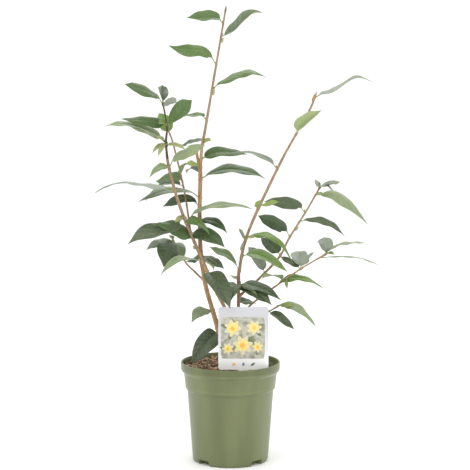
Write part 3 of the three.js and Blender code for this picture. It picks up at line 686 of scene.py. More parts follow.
def add_shoot(name, limb, cuts, route, *leaves):
    """A shoot from its route, rows of x, y, height and radius, and its leaves. Its cuts part it into nodes, a
    bare limb and then its masses, each with the heights that it lies between."""
    nodes = [f"{name}_{limb}", *(f"{name}_{mass}" for mass in MASS_NAMES[len(cuts) - 2])]
    SHOOTS.append({
        "name": name,
        "is_bough": limb == "bough",
        "nodes": list(zip(nodes, cuts, cuts[1:])),
        "route": np.array(route, float),
        "leaves": leaves,
    })


# A leaf's own tone is partly painted light: some leaves get a paler green because they lie in shade or face
# down, and some a darker one against the sheen on them
def leaf(height, right, away, up, arch, roll, kind, **habits):
    """A leaf from the height of its node, the reach of its tip to the right, away and up, the rise of its
    arched midrib, the roll of its blade in degrees and its kind. Habits of its own are its tone of green, its
    width and opening as shares of its length, its lift and bend in millimetres and its fold in degrees."""
    return {"height": height, "reach": (right, away, up), "arch": arch, "roll": roll, "kind": kind, **habits}


add_shoot(
    "leader", "stem", [150, 334, 428, 561, 770],
    [
        [-2, 6, 150, 5.2], [-20, 7, 222, 4.5], [-44, 14, 307, 3.9], [-52, 18, 386, 3.7],
        [-51, 12, 481, 3.5], [-49, 10, 528, 2.4], [-42, 5, 569, 2], [-25, -2, 667, 1.6],
        [-7, -14, 770, 1.1],
    ],
    leaf(222, -46, -15, -56, 6, -60, "old", tone="dusty", width=0.5, lift=0),
    leaf(258, -35, -41, -16, 12, -32, "old", tone="soft", width=0.49, lift=-2, bend=-2, open=0.2, fold=-7),
    leaf(340, 20, 55, -22, 8, 20, "old", lift=0),
    leaf(346, -28, 50, -12, 3, -35, "old", lift=0, fold=-5),
    leaf(351, 40, -45, -17, 4, 27, "old", tone="dusty", width=0.3, lift=0, open=0.2, fold=0),
    leaf(414, 47, -49, -19, 9, 31, "old", width=0.28, lift=-2, bend=-0.5, fold=0),
    leaf(433, -66, 54, -4, 10, -75, "old", width=0.24, lift=8, bend=1, open=0.19, fold=18),
    leaf(450, -101, -45, -2, 14, -17, "mid", tone="soft", width=0.26, lift=5, fold=0),
    leaf(482, 110, -10, 2, 15, 19, "mid", tone="deep", width=0.39, lift=2, open=0.14, fold=6),
    leaf(490, -26, 58, -2, 8, -20, "old", open=0.15),
    leaf(503, -24, -22, 6, 2, -50, "young", open=0.3),
    leaf(515, 79, 15, 8, 8, 32, "mid", tone="deep", lift=2, fold=5),
    leaf(541, 15, -20, 8, 2, 50, "young"),
    # painted shade: a darker tone that offsets the sheen on this leaf
    leaf(548, -40, 55, -12, 3, -30, "mid", tone="old", width=0.3, lift=0, fold=0),
    leaf(582, -58, 45, 3, 2, -20, "mid", width=0.24, lift=9, fold=5),
    leaf(633, 91, 19, 21, 14, 21, "mid", width=0.33, lift=5, bend=-2.5, open=0.15, fold=-8),
    leaf(676, -78, -32, 31, 2, -56, "mid", width=0.3, lift=12, bend=1, open=0.09, fold=-4),
    leaf(722, 69, 21, 40, 3, 24, "mid", tone="soft", width=0.35, lift=0, bend=-4, open=0.12, fold=33),
    leaf(743, -59, -48, 9, 2, -48, "mid", width=0.34, lift=7, bend=1, open=0.04, fold=23),
)
add_shoot(
    "leader_spur", "bough", [498, 535],
    [
        [-51, 12, 498, 2.6], [-56, 14, 520, 2.2], [-58, 16, 535, 1.8],
    ],
)
add_shoot(
    "left", "stem", [150, 320, 434, 530, 616],
    [
        [5, -8, 150, 3.8], [1, -8, 235, 3.4], [-29, -3, 302, 3.1], [-50, -2, 351, 3], [-67, -12, 393, 2.8],
        [-85, -26, 441, 2.6], [-101, -42, 502, 2.2], [-106, -52, 546, 1.6], [-104, -58, 575, 1.3],
        [-111, -64, 616, 1],
    ],
    leaf(327, 40, -60, -55, 7, 12, "old", tone="dusty", width=0.44, lift=0),
    leaf(342, -72, -25, -21, 19, -15, "pale", width=0.3, lift=0, bend=-3, fold=0),
    leaf(376, -66, -29, 35, 8, -50, "mid", tone="deep", width=0.39, lift=5, bend=-0.5, open=0.09, fold=-18),
    leaf(393, 58, -45, -19, 9, 42, "old", lift=0, fold=0),
    leaf(411, 110, -15, 25, 13, 15, "pale", width=0.26, lift=11, fold=0),
    leaf(416, 42, -28, -22, 8, 25, "mid", lift=0, fold=5),
    leaf(420, -94, -18, -43, 6, -42, "old", tone="dusty", width=0.33, lift=-6, bend=-3, fold=-3),
    leaf(421, -14, -16, -8, 2, -20, "young", tone="straw"),
    leaf(468, -131, -21, -3, 11, -2, "silver", tone="grey", width=0.3, lift=3, bend=-3, fold=0),
    leaf(505, 61, -45, 40, 1, 55, "pale", width=0.31, lift=14, fold=-5),
    leaf(509, -30, -35, -17, 6, -30, "mid", tone="pale", width=0.3, lift=1, fold=0),
    leaf(543, 33, -20, -6, 3, 30, "young", tone="straw", width=0.3),
    leaf(543, -22, -22, -12, 5, -30, "young", tone="straw", width=0.28),
    leaf(544, -12, -26, -18, 6, -20, "young", tone="straw", width=0.3),
    leaf(547, -98, -25, 29, 13, -30, "pale", width=0.26, lift=2, fold=5),
    leaf(549, -15, -22, 5, 3, -30, "young", tone="straw"),
    leaf(570, 40, 42, 47, 4, 42, "mid", width=0.46, open=0.25, fold=8),
    leaf(574, -74, -20, 14, 2, -40, "mid", tone="deep", width=0.32, fold=-5),
    leaf(575, -12, -25, 5, 3, -40, "young", tone="bright"),
    leaf(610, -61, -29, 35, 2, -42, "mid", tone="deep", width=0.41, lift=10, open=0.14, fold=-4),
    leaf(611, -4, 58, 31, 2, 15, "old", width=0.34, lift=3, bend=1, open=0.14, fold=29),
    leaf(612, 24, -40, 3, 3, 50, "silver", tone="grey", width=0.42, fold=-10),
)
add_shoot(
    "back_left", "bough", [393, 462, 562],
    [
        [-67, -12, 393, 1.6], [-72, 8, 423, 1.4], [-75, 18, 441, 1.3], [-82, 32, 476, 1.2],
        [-98, 46, 540, 1.1], [-106, 50, 562, 1],
    ],
    leaf(468, -66, 10, -26, 16, -10, "old", lift=0),
    leaf(477, -48, 42, -4, 4, -55, "old", tone="mid", width=0.42, fold=0),
    leaf(488, 9, -24, 22, 2, 25, "bright", width=0.5),
    leaf(556, -21, 40, 35, 3, -30, "bright", width=0.45),
)
add_shoot(
    "low_left", "bough", [307, 364, 377],
    [
        [-44, 14, 307, 1.5], [-62, 22, 323, 1.3], [-76, 30, 336, 1.2], [-90, 40, 358, 1.1],
        [-101, 48, 377, 1],
    ],
    # painted light: a paler tone that offsets the shade this leaf lies in
    leaf(370, 17, -40, -24, 6, 10, "old", tone="soft", width=0.5, lift=0, fold=0),
    leaf(372, -46, -30, -12, 6, -40, "pale", tone="grey", lift=0, fold=-5),
    leaf(373, -14, -61, -38, 8, -27, "old", tone="dusty", width=0.62, lift=2, open=0.16, fold=0),
    leaf(374, -6, -14, 10, 2, 0, "young"),
)
add_shoot(
    "right", "stem", [150, 290, 400, 545, 624],
    [
        [14, 4, 150, 3.4], [14, 3, 302, 2.9], [16, 2, 331, 2.8], [23, -2, 371, 2.6], [37, -8, 411, 2.4],
        [57, -15, 456, 2.2], [91, -27, 527, 1.8], [130, -38, 598, 1.5], [140, -42, 624, 1.3],
    ],
    leaf(270, 33, 40, -9, 5, 30, "old", lift=1, fold=5),
    leaf(297, -13, -55, -14, 10, 0, "old", tone="dusty"),
    # painted light: a paler tone that offsets the shade from the leaves above
    leaf(299, 32, -30, -12, 4, 50, "mid", tone="pale", lift=0),
    leaf(300, 56, -42, -26, 5, 30, "old", tone="dusty", lift=0),
    leaf(301, -24, -36, -6, 4, -30, "old", tone="soft", width=0.45, lift=0),
    leaf(302, 72, -40, -21, 9, 15, "old", lift=0, fold=5),
    leaf(308, -16, 45, 4, 2, 0, "pale", width=0.25),
    leaf(326, -51, -25, 45, 8, -35, "old", tone="mid", bend=3, fold=5),
    leaf(350, 78, -31, -21, 11, 11, "bright", width=0.54, lift=2.4, bend=2, open=0.18, fold=9),
    leaf(375, -8, -20, -12, 2, 0, "slender"),
    leaf(379, -11, -22, 24, 2, 60, "slender"),
    leaf(383, 14, -18, 2, 2, 30, "young", tone="straw"),
    leaf(384, 79, -31, -41, 25, 18, "bright", width=0.24, lift=2, bend=-3, open=0.11, fold=-6),
    leaf(434, 3, -9, 16, 0, 0, "young", width=0.8),
    leaf(437, 34, 4, 8, 1, 70, "young", width=0.45, open=0.5),
    leaf(502, -78, 8, 27, 10, -16, "silver", tone="grey", width=0.2, lift=3.6, bend=1, open=0.04, fold=8),
    # painted light: a paler tone that offsets the shade on this face-down leaf
    leaf(560, 41, -34, 42, -2, 64, "pale", tone="lime", width=0.52, lift=3, open=0.04, fold=45),
    leaf(622, 92, -25, 26, 5, 5, "silver", width=0.18, lift=5, bend=-5, open=0.04, fold=30),
)
add_shoot(
    "right_arm", "bough", [281, 316, 394, 465],
    [
        [14, 3, 281, 2.3], [26, 8, 292, 2.1], [49, 16, 311, 1.9], [84, 28, 347, 1.7], [102, 37, 380, 1.5],
        [132, 50, 426, 1.3], [155, 60, 465, 1.1],
    ],
    leaf(320, -28, 30, 42, 6, -30, "old", tone="grey", lift=0),
    leaf(349, -33, 45, 25, 3, -40, "old", lift=3, fold=0),
    leaf(380, -55, -15, 39, 5, -64, "old", width=0.43, lift=9, bend=2, fold=-25),
    leaf(406, 79, 10, -26, 13, 40, "old", tone="dusty", width=0.33, lift=2.6, bend=-2, open=0.4, fold=0),
    leaf(421, -70, 18, 18, 3, -50, "old", tone="dusty", width=0.36, lift=10, open=0.12, fold=0),
    leaf(450, 12, -22, 2, 2, 30, "young"),
    leaf(452, 91, 12, -53, 23, 43, "pale", width=0.38, lift=-2.5, bend=-2, open=0.3, fold=-20),
    leaf(463, 25, -20, -9, 8, 0, "silver", width=0.5, open=0.5),
    leaf(463, 34, -45, 14, 4, -20, "silver", width=0.3, lift=0, fold=-5),
    leaf(464, -9, -25, 16, 0, 20, "silver", width=0.3, lift=0),
)
add_shoot(
    "low_right", "bough", [240, 296, 363],
    [
        [14, 3, 240, 1.7], [28, 5, 260, 1.5], [44, 0, 276, 1.4], [76, -13, 302, 1.3], [119, -31, 335, 1.1],
        [161, -50, 363, 1],
    ],
    leaf(301, 81, -21, 1, 15, 22, "bright", width=0.28, lift=4, bend=-0.5, open=0.11, fold=0),
    leaf(312, -36, -50, 11, 6, 0, "pale"),
    leaf(316, 2, -25, -14, 3, 60, "pale"),
    leaf(334, -33, 36, 17, 1, -35, "old", tone="dusty", width=0.26, fold=5),
    leaf(335, -4, 60, 22, 3, 0, "silver", tone="grey", width=0.52),
    leaf(336, 22, 20, 25, 4, 30, "silver", tone="grey", width=0.18, fold=5),
    leaf(355, 98, -9, -11, 8, -6, "pale", width=0.26, lift=1, bend=-2, open=0.18, fold=-6),
    leaf(360, 68, -30, 24, 8, 15, "slender", bend=1, fold=0),
    leaf(361, 14, -18, 2, 2, 20, "young"),
    leaf(362, -7, -58, 35, 4, 0, "silver", tone="grey", width=0.44, lift=-1.5, bend=1, open=0.15, fold=11),
)
add_shoot(
    "label_side", "bough", [226, 254, 270],
    [
        [14, 3, 226, 1.5], [26, 0, 238, 1.3], [44, -4, 248, 1.2], [65, -8, 258, 1.1], [84, -12, 270, 1],
    ],
    leaf(258, 43, -42, -24, 3, 32, "old", tone="dusty", width=0.28, lift=0, fold=22),
    leaf(267, 64, -41, -28, 16, 20, "pale", width=0.33, lift=2, open=0.22, fold=-8),
    leaf(268, 24, -22, 4, 1, 60, "young", width=0.55, open=0.5),
)


def on_route(route, t):
    """Places on a route: every column of its rows follows one uniform Catmull-Rom curve through them, and the
    end rows are repeated."""
    last = len(route) - 1
    start = np.clip(np.floor(t).astype(int), 0, last - 1)
    u = (t - start)[:, None]
    before, begin, end, after = (route[np.clip(start + step, 0, last)] for step in (-1, 0, 1, 2))
    leaving, arriving = (end - before) / 2, (after - begin) / 2
    square = 3 * (end - begin) - 2 * leaving - arriving
    cube = 2 * (begin - end) + leaving + arriving
    return begin + leaving * u + square * u**2 + cube * u**3


def places_at_heights(route, heights):
    """Where a climbing route passes each height, by halving the stretch that it lies in."""
    low = np.zeros(len(heights))
    high = np.full(len(heights), len(route) - 1.0)
    for _ in range(40):
        middle = (low + high) / 2
        below = on_route(route, middle)[:, 2] < heights
        low, high = np.where(below, middle, low), np.where(below, high, middle)
    return (low + high) / 2


def directions_on(route, t):
    """Unit directions of a route at places on it."""
    ahead = on_route(route, np.minimum(t + 0.01, len(route) - 1))
    return unit((ahead - on_route(route, np.maximum(t - 0.01, 0)))[:, :3])


def bark_rings(shoot):
    """Rings along a shoot. The radius is the route's, with a flare at the foot or a collar where a bough
    leaves its stem, a little more for the soft bark of young wood, a swelling at each node, and fissures that
    are uneven round and along the bark."""
    route = shoot["route"]
    length = np.linalg.norm(np.diff(route[:, :3], axis=0), axis=1).sum()
    foot = np.array([route[0, 2] if shoot["is_bough"] else STEM_FOOT])
    t = np.linspace(places_at_heights(route, foot)[0], len(route) - 1, int(length / BARK_STEP))
    row = on_route(route, t)
    direction = directions_on(route, t)
    side = unit(np.cross([0, 1, 0], direction))
    front = np.cross(direction, side)
    radius = row[:, 3] + TWIG_BARK * (1 - smooth_step(row[:, 3], YOUNG_RADIUS, YOUNG_RADIUS + YOUNG_FADE))
    if shoot["is_bough"]:
        way = np.linalg.norm(row[:, :3] - row[0, :3], axis=1)
        radius += COLLAR_RADIUS * np.exp(-way / COLLAR_LENGTH)
    else:
        radius += FLARE_RADIUS * np.exp(-np.maximum(row[:, 2] - FLARE_BOTTOM, 0) / FLARE_HEIGHT)
    nodes = [blade["height"] for blade in shoot["leaves"]]
    scars = np.arange(route[0, 2] + FIRST_SCAR, nodes[0] if nodes else route[-1, 2], SCAR_SPACING)
    for height in [*nodes, *scars]:
        off = (row[:, 2] - height) / NODE_LENGTH
        radius += (NODE_SWELLING + NODE_SHARE * row[:, 3]) * np.exp(-off**2)
        radius -= SCAR_DEPTH * np.exp(-((off - 1.6) ** 2) * 4)
    turn = even_turn(BARK_SIDES)
    around = np.stack(np.broadcast_arrays(np.cos(turn), np.sin(turn), row[:, 2:3] / FISSURE_RUN), axis=-1)
    fissures = -np.abs(waves(around, FISSURE_WAVES[0])) + 0.5 * waves(around, FISSURE_WAVES[1])
    reach = radius[:, None] * (1 + FISSURE_DEPTH * fissures)
    outward = side[:, None] * np.cos(turn)[:, None] + front[:, None] * np.sin(turn)[:, None]
    return row[:, None, :3] + outward * reach[..., None], row


def bark_finish(name, pale, middle, dark, roughness):
    """Bark in three browns, with streaks that run up the stem."""
    stops = [(0.3, dark), (0.48, middle), (0.68, pale)]
    streaks = {"scale": 700, "detail": 5, "stretch": (1, 1, 0.09), "relief": 0.0004, "strength": 0.8}
    return clouded_finish(f"bark_{name}", stops, **streaks, roughness=roughness, specular=0.3)


barks = [bark_finish(name, *look) for name, look in BARKS.items()]
bark_names = list(BARKS)
for shoot in SHOOTS:
    rings, row = bark_rings(shoot)
    is_young = row[:, 3] < YOUNG_RADIUS
    kinds = np.where(is_young, bark_names.index("young"), bark_names.index("tan"))
    for name, low, high, bark in OTHER_BARK:
        if name == shoot["name"]:
            kinds[(row[:, 2] > low) & (row[:, 2] < high)] = bark_names.index(bark)
    if not shoot["leaves"]:  # the pruned stub shows its wood
        kinds[-2:] = bark_names.index("cut")
    standing_for = [node for node, low, high in shoot["nodes"]]
    face_finish = (kinds[:-1], kinds[[0, -1]])
    add_piece(f"{shoot['name']}_bark", rings[None], barks, standing_for, face_finish, crease=70)

# Buds: a small scaly green bud sits above each leaf's foot, and a longer one ends each shoot. The right stem
# ends in a fat tan bud that is about to break.
BUD_RINGS = 9
BUD_SIDES = 10
BUD_WAY = (0.02, 0.995)
BUD_SCALES = 3
SCALE_STEP = 0.09
BUD_KEEL = 0.07
# How far a bud leans out over its leaf, how long it is and how wide for its length
BUD_LEAN = 0.45
AXIL_BUD = (3.2, 6.4)
BUD_SLIMNESS = 0.42
# Length, width and colour of the bud that ends a shoot, and how deep it sits over the wood at most
END_BUDS = {
    "leader": (15, 3.8, "brown"),
    "left": (8, 3, "green"),
    "back_left": (7, 2.8, "green"),
    "low_left": (6, 2.6, "green"),
    "right": (21, 6.2, "tan"),
    "right_arm": (7, 2.8, "green"),
    "low_right": (7, 2.8, "green"),
    "label_side": (6, 2.6, "green"),
}
END_BUD_DEPTH = 12
# Resting buds that stand out: their height, their side (1 is right, -1 left), their length and width
SIDE_BUDS = {
    "leader": [(624, 1, 13, 5), (711, 1, 11, 4.6)],
    "left": [(364, -1, 9, 4.4)],
    "right_arm": [(391, 1, 10, 4.4)],
}
BUD_TONES = {
    "green": [(112, 128, 66), (156, 168, 98)],
    "tan": [(146, 108, 76), (184, 146, 100)],
    "resting": [(142, 140, 98), (188, 186, 148)],
    "brown": [(112, 88, 70), (150, 122, 98)],
}


def bud_rings(foot, heading, length, width):
    """A bud from its foot along its heading: rings whose radius follows the sine of the way along raised to a
    power, fullest below the middle, drawn to a point, with three scales that overlap like steps."""
    way = np.linspace(*BUD_WAY, BUD_RINGS)
    turn = even_turn(BUD_SIDES)
    body = np.sin(np.pi * way**0.75) ** 0.85 * (1 - 0.25 * way)
    scales = 1 + SCALE_STEP * ((way * BUD_SCALES) % 1)
    side = unit(np.cross(heading, [0.31, 0.83, 0.46]))
    front = np.cross(heading, side)
    radius = (0.5 * width * body * scales)[:, None] * (1 + BUD_KEEL * np.cos(3 * turn))
    outward = side * np.cos(turn)[:, None] + front * np.sin(turn)[:, None]
    return foot + heading * (way * length)[:, None, None] + outward[None] * radius[..., None]


def at_height(route, height):
    """The row of a route at a height, and its direction there."""
    place = places_at_heights(route, np.array([height]))
    return on_route(route, place)[0], directions_on(route, place)[0]


def bud_finish(name, dark, light):
    """Bud scales between two colours in small patches, with a slight gloss."""
    stops, gloss = [(0.35, dark), (0.65, light)], {"roughness": 0.5, "coat": 0.15}
    return clouded_finish(f"bud_{name}", stops, scale=500, detail=3, relief=0.0002, **gloss)


buds = []
for shoot in SHOOTS:
    route = shoot["route"]
    if shoot["name"] in END_BUDS:
        length, width, kind = END_BUDS[shoot["name"]]
        end = np.array([len(route) - 1.0])
        heading = directions_on(route, end)[0]
        start = on_route(route, end)[0, :3] - heading * min(length * 0.75, END_BUD_DEPTH)
        buds.append((kind, bud_rings(start, heading, length, width)))
    for height, side, length, width in SIDE_BUDS.get(shoot["name"], []):
        row, heading = at_height(route, height)
        start = row[:3] + [side * (row[3] + 0.3 * width), -0.5, 0]
        buds.append(("resting", bud_rings(start, unit(heading + [0.12 * side, 0, 0]), length, width)))
    for blade in shoot["leaves"]:
        row, heading = at_height(route, blade["height"])
        outward = unit(np.array([*blade["reach"][:2], 0.0]))
        heading = unit(heading + BUD_LEAN * outward)
        length = growth.uniform(*AXIL_BUD)
        start = row[:3] + outward * row[3] * 0.8 + [0, 0, 1]
        buds.append(("green", bud_rings(start, heading, length, BUD_SLIMNESS * length)))
bud_kinds = np.array([list(BUD_TONES).index(kind) for kind, rings in buds])
bud_finishes = [bud_finish(name, *tones) for name, tones in BUD_TONES.items()]
bud_shapes = np.stack([rings for kind, rings in buds])
add_piece("buds", bud_shapes, bud_finishes, face_finish=(bud_kinds, bud_kinds), crease=50)

# Leaves: thick glossy evergreen blades on short green stalks, dark where old and small and yellow green where
# youngest. Each has a sunken midrib, raised fields between its side veins, a finely toothed and slightly wavy
# margin and a drawn-out tip, and the firm dark ones are paler and matt underneath.

# The width of each kind as a share of its length
LEAF_WIDTH = {
    "old": 0.38, "mid": 0.36, "bright": 0.36, "pale": 0.34, "silver": 0.34, "slender": 0.2, "young": 0.5,
}
# Tones: the deep and the fresh green, the veins' colour, roughness, wax, and how strong the veins show
GREENS = {
    "old": [(46, 65, 35), (64, 84, 46), (98, 115, 72), 0.44, 0.1, 0.3],
    "dusty": [(62, 76, 50), (86, 100, 70), (114, 124, 96), 0.44, 0.1, 0.3],
    "deep": [(58, 84, 40), (80, 104, 54), (108, 128, 78), 0.44, 0.1, 0.3],
    "mid": [(70, 98, 48), (94, 120, 62), (120, 142, 84), 0.44, 0.1, 0.35],
    "soft": [(94, 112, 78), (118, 134, 100), (144, 156, 126), 0.44, 0.1, 0.35],
    "bright": [(82, 112, 42), (104, 134, 54), (132, 154, 78), 0.44, 0.1, 0.35],
    # pale, grey and silver are partly painted sheen: paler greens that stand in for the glare on the waxy top
    "pale": [(112, 132, 88), (138, 152, 112), (158, 168, 132), 0.46, 0.15, 0.35],
    "lime": [(152, 168, 112), (176, 188, 138), (188, 198, 154), 0.46, 0.15, 0.35],
    "grey": [(110, 122, 104), (134, 144, 126), (158, 164, 146), 0.46, 0.15, 0.35],
    "silver": [(144, 154, 136), (170, 176, 158), (188, 190, 172), 0.46, 0.15, 0.35],
    "slender": [(118, 132, 104), (140, 150, 124), (160, 168, 144), 0.46, 0.15, 0.35],
    "young": [(124, 144, 74), (150, 164, 94), (168, 178, 114), 0.46, 0.1, 0.35],
    "straw": [(134, 144, 88), (162, 165, 112), (182, 180, 138), 0.46, 0.1, 0.35],
    "under": [(118, 138, 88), (140, 156, 106), (162, 174, 126), 0.58, 0.02, 0.4],
    "stalk": [(108, 124, 60), (130, 144, 76), (148, 162, 100), 0.5, 0.05, 0.3],
}
# Tones of leaves that are as pale below as above, which in part is painted light on leaves that face down and
# lie in shade
ALIKE_BELOW = ["soft", "pale", "lime", "grey", "silver", "slender", "young", "straw"]
# Where the pale margin begins, and how pale it gets
PALE_MARGIN = (0.88, 0.45)
# Stalk: its share of the leaf, its rings' places, and where the section has opened from stalk to blade
STALK_SHARE = 0.07
STALK_RADIUS = 0.85
STALK_WAY = [0, 0.02, 0.04, 0.057]
OPENED_WAY = (0.06, 0.12)
# Run of the leaf: how its stalk lifts it, and how it twists (in degrees) and ripples on the way to its tip
LIFT_SHARE = 0.04
LIFT_END = 0.15
LEAF_TWIST = 10
RIPPLE = 0.01
RIPPLE_START = (0.05, 0.4)
# Blade: how it opens, fills out and draws in to its tip, its teeth, its fold and its thickness. Sizes in
# millimetres are those of a leaf of the usual length, and grow with it
USUAL_LENGTH = 95
OPENING_SHARE = 0.06
LEAST_HALF_WIDTH = 0.28
BLADE_FULLNESS = 2.1
TIP_DRAW = 0.25
TIP_STRETCH = (0.75, 0.97)
TEETH = 24
TOOTH_SHAPE = [1.0, 0.6, 0.0]
TOOTH_DEPTH = 0.035
TOOTH_START = 0.06
FOLD_ANGLE = 16
CUSHION = 0.14
BLADE_THICKNESS = 0.62
HALF_COLUMNS = 8
COLUMN_CROWDING = 1.35
# Relief: side veins and the raised fields between them, the midrib's groove on top and its ridge below, and
# the waves of the margin
VEINS = 8
VEIN_SWEEP = 1.7
VEIN_STAGGER = 0.5
VEIN_FINENESS = 3.2
FIELD_HEIGHT = 0.32
FIELD_INSIDE = (0.04, 0.3)
FIELD_OUTSIDE = (0.72, 1)
GROOVE_WIDTH = 0.9
GROOVE_ABOVE, RIDGE_BELOW = -0.3, -0.75
MIDRIB_WIDTH = 0.8
MARGIN_WAVE = 1.1
MARGIN_WAVES = (1.6, 3.2)


def habit(leaves, name, usual):
    """One habit of each leaf as a column: its own value, or else the usual one for it."""
    return np.array([blade.get(name, value) for blade, value in zip(leaves, usual)], float)[:, None]


def leaf_rings(feet, leaves):
    """Rings across leaves, with a mark at each point for the finish.

    The midrib runs from the foot to the tip. It rises by four times its arch times the way along times the
    way left, by the stalk's lift, which fades towards the tip, and by the bend times the sine of a whole
    turn. A section starts as the stalk's circle and opens into a blade. Half its width opens from the base
    as one less a falling exponential, times the cosine of a quarter turn of the way raised to a power, times
    what draws out the tip, with a tooth every three rings. From the midrib out a half rises by the fold and
    swells between its side veins, whose fields slant forwards, and its margin waves. The marks are how much
    of a vein is there, how near the margin is, and the leaf's own seeded tone.
    """
    count = len(leaves)
    reach = np.array([blade["reach"] for blade in leaves], float)
    arch = np.array([[blade["arch"]] for blade in leaves], float)
    length = np.linalg.norm(reach, axis=1)[:, None]
    stalk_lift = habit(leaves, "lift", LIFT_SHARE * length[:, 0])
    bend = habit(leaves, "bend", np.zeros(count))
    fold = np.radians(habit(leaves, "fold", np.full(count, FOLD_ANGLE)))[..., None]
    opening = habit(leaves, "open", np.full(count, OPENING_SHARE))
    along = unit(reach)
    top = unit(np.array([0, 0, 1.0]) - along * along[:, 2:])
    way = np.concatenate([STALK_WAY, STALK_SHARE + (1 - STALK_SHARE) * np.linspace(0, 1, 3 * TEETH + 1)])
    u = np.clip((way - STALK_SHARE) / (1 - STALK_SHARE), 0, 1)
    roll = np.radians([blade["roll"] for blade in leaves])[:, None]
    roll = roll + np.radians(growth.normal(0, LEAF_TWIST, (count, 1))) * np.sin(2 * np.pi * way)
    across = np.cross(along, top)[:, None] * np.cos(roll)[..., None] - top[:, None] * np.sin(roll)[..., None]
    middle = feet[:, None] + reach[:, None] * way[:, None]
    middle[..., 2] += 4 * arch * way * (1 - way) + bend * np.sin(2 * np.pi * way)
    middle[..., 2] += stalk_lift * (1 - way) * smooth_step(way, 0, LIFT_END)
    ripple = growth.normal(0, RIPPLE, (count, 1)) * length
    middle[..., 2] += ripple * np.sin(2 * np.pi * way) * smooth_step(way, *RIPPLE_START)
    tangent = unit(np.gradient(middle, axis=1))
    across = unit(across - tangent * (across * tangent).sum(axis=-1, keepdims=True))
    over = np.cross(across, tangent)

    widths = habit(leaves, "width", [LEAF_WIDTH[blade["kind"]] for blade in leaves]) * length
    body = np.cos(np.pi / 2 * u**BLADE_FULLNESS) * (1 - TIP_DRAW * smooth_step(u, *TIP_STRETCH))
    tooth = 1 - TOOTH_DEPTH * np.resize(TOOTH_SHAPE, len(u)) * (u > TOOTH_START)
    half = np.maximum(0.5 * widths * (1 - np.exp(-u / opening)) * body, LEAST_HALF_WIDTH)[..., None]

    column = np.arange(4 * HALF_COLUMNS)
    turn = np.pi - np.pi * column / (2 * HALF_COLUMNS)
    line = np.where(column <= 2 * HALF_COLUMNS, -1 + column / HALF_COLUMNS, 3 - column / HALF_COLUMNS)
    v = np.sign(line) * np.abs(line) ** COLUMN_CROWDING
    face = np.sign(np.sin(turn)) * (np.abs(line) < 1)
    out = np.abs(v)
    edge = np.where(out > 0.99, tooth[:, None], 1)
    opened = smooth_step(way, *OPENED_WAY)[None, :, None]

    phase = growth.uniform(0, 1, (count, 1, 1))
    slant = VEINS * u[:, None] ** 0.92 - VEIN_SWEEP * out * (1 - 0.25 * u[:, None]) + VEIN_STAGGER * (v > 0)
    field = 0.5 - 0.5 * np.cos(2 * np.pi * (slant + phase))
    inner = smooth_step(out, *FIELD_INSIDE) * (1 - smooth_step(out, *FIELD_OUTSIDE))
    taper = np.sin(np.pi * u)[:, None] ** 0.5
    wave_phase = growth.uniform(0, 2 * np.pi, (count, 1, 2))
    wave_phase = np.where(v > 0, wave_phase[..., :1], wave_phase[..., 1:])
    wave_count = growth.uniform(*MARGIN_WAVES, (count, 1, 1))
    margin_wave = MARGIN_WAVE * np.sin(2 * np.pi * wave_count * u[:, None] + wave_phase) * out**2 * taper

    size = length[..., None] / USUAL_LENGTH
    fall = half * out * (np.sin(fold) + CUSHION * (1 - out))
    groove = np.exp(-((v * half / GROOVE_WIDTH) ** 2)) * (1 - 0.6 * u[:, None])
    lift = fall + size * (FIELD_HEIGHT * field * inner * taper + margin_wave)
    lift += face * 0.5 * BLADE_THICKNESS * size * (1 - 0.7 * out**3)
    lift += np.where(face > 0, GROOVE_ABOVE, RIDGE_BELOW) * groove * size
    stalk = STALK_RADIUS * size * (1 + 0.5 * (1 - smooth_step(way, 0, 0.03)))[None, :, None]
    lateral = opened * half * np.cos(fold) * v * edge + (1 - opened) * stalk * np.cos(turn)
    lift = opened * lift + (1 - opened) * stalk * np.sin(turn)
    rings = middle[:, :, None] + across[:, :, None] * lateral[..., None] + over[:, :, None] * lift[..., None]

    vein = np.maximum(1 - field * VEIN_FINENESS, 0) * inner
    vein = np.maximum(vein, np.exp(-((v * half / MIDRIB_WIDTH) ** 2)))
    tone = np.broadcast_to(growth.uniform(0, 1, (count, 1, 1)), vein.shape)
    return rings, np.stack([vein, np.broadcast_to(out, vein.shape), tone], axis=-1)


def leaf_face_kinds(leaves, rings):
    """The finishes of the leaves' faces: stalk, underside, or the leaf's own green on top."""
    greens = list(GREENS)
    tones = [blade.get("tone", blade["kind"]) for blade in leaves]
    own = np.array([greens.index(tone) for tone in tones])[:, None, None]
    kinds = np.tile(own, (1, rings.shape[1] - 1, rings.shape[2]))
    differs = np.array([tone not in ALIKE_BELOW for tone in tones])
    kinds[differs, :, 2 * HALF_COLUMNS :] = greens.index("under")
    kinds[:, : len(STALK_WAY) + 2] = greens.index("stalk")
    return kinds.ravel(), [greens.index("stalk")]


def leaf_finish(name, deep, fresh, vein, roughness, wax, bloom):
    """Green between two tones by the leaf's own seeded tone and by cloudy patches, paler along its veins and
    at its thin margin, under a waxy coat. Bloom is how strong the veins show."""
    finish, shader = new_finish(f"leaf_{name}", roughness, coat=wax, coat_roughness=0.24, specular=0.38)
    marks = add_node(finish, "Attribute", {}, "Vector", attribute_name="marks")
    veins, margin, own = (add_node(finish, "SeparateXYZ", {"Vector": marks}, part) for part in "XYZ")
    clouds = spread(finish, object_noise(finish, 55), 0, 0.55)
    tone = add_node(finish, "Math", {0: own, 1: 0.45, 2: clouds}, "Value", operation="MULTIPLY_ADD")
    green = colour_ramp(finish, tone, [(0.1, linear(deep)), (0.9, linear(fresh))])
    near, strength = PALE_MARGIN
    for share in (spread(finish, veins, 0, bloom, (0, 1)), spread(finish, margin, 0, strength, (near, 1))):
        green = mixed(finish, share, green, linear(vein))
    grain = object_noise(finish, 600, detail=2)
    varied = spread(finish, grain, roughness - 0.05, roughness + 0.06)
    feed(finish, shader, {"Base Color": green, "Roughness": varied})
    add_relief(finish, shader, grain, height=0.00008, strength=0.3)
    return finish


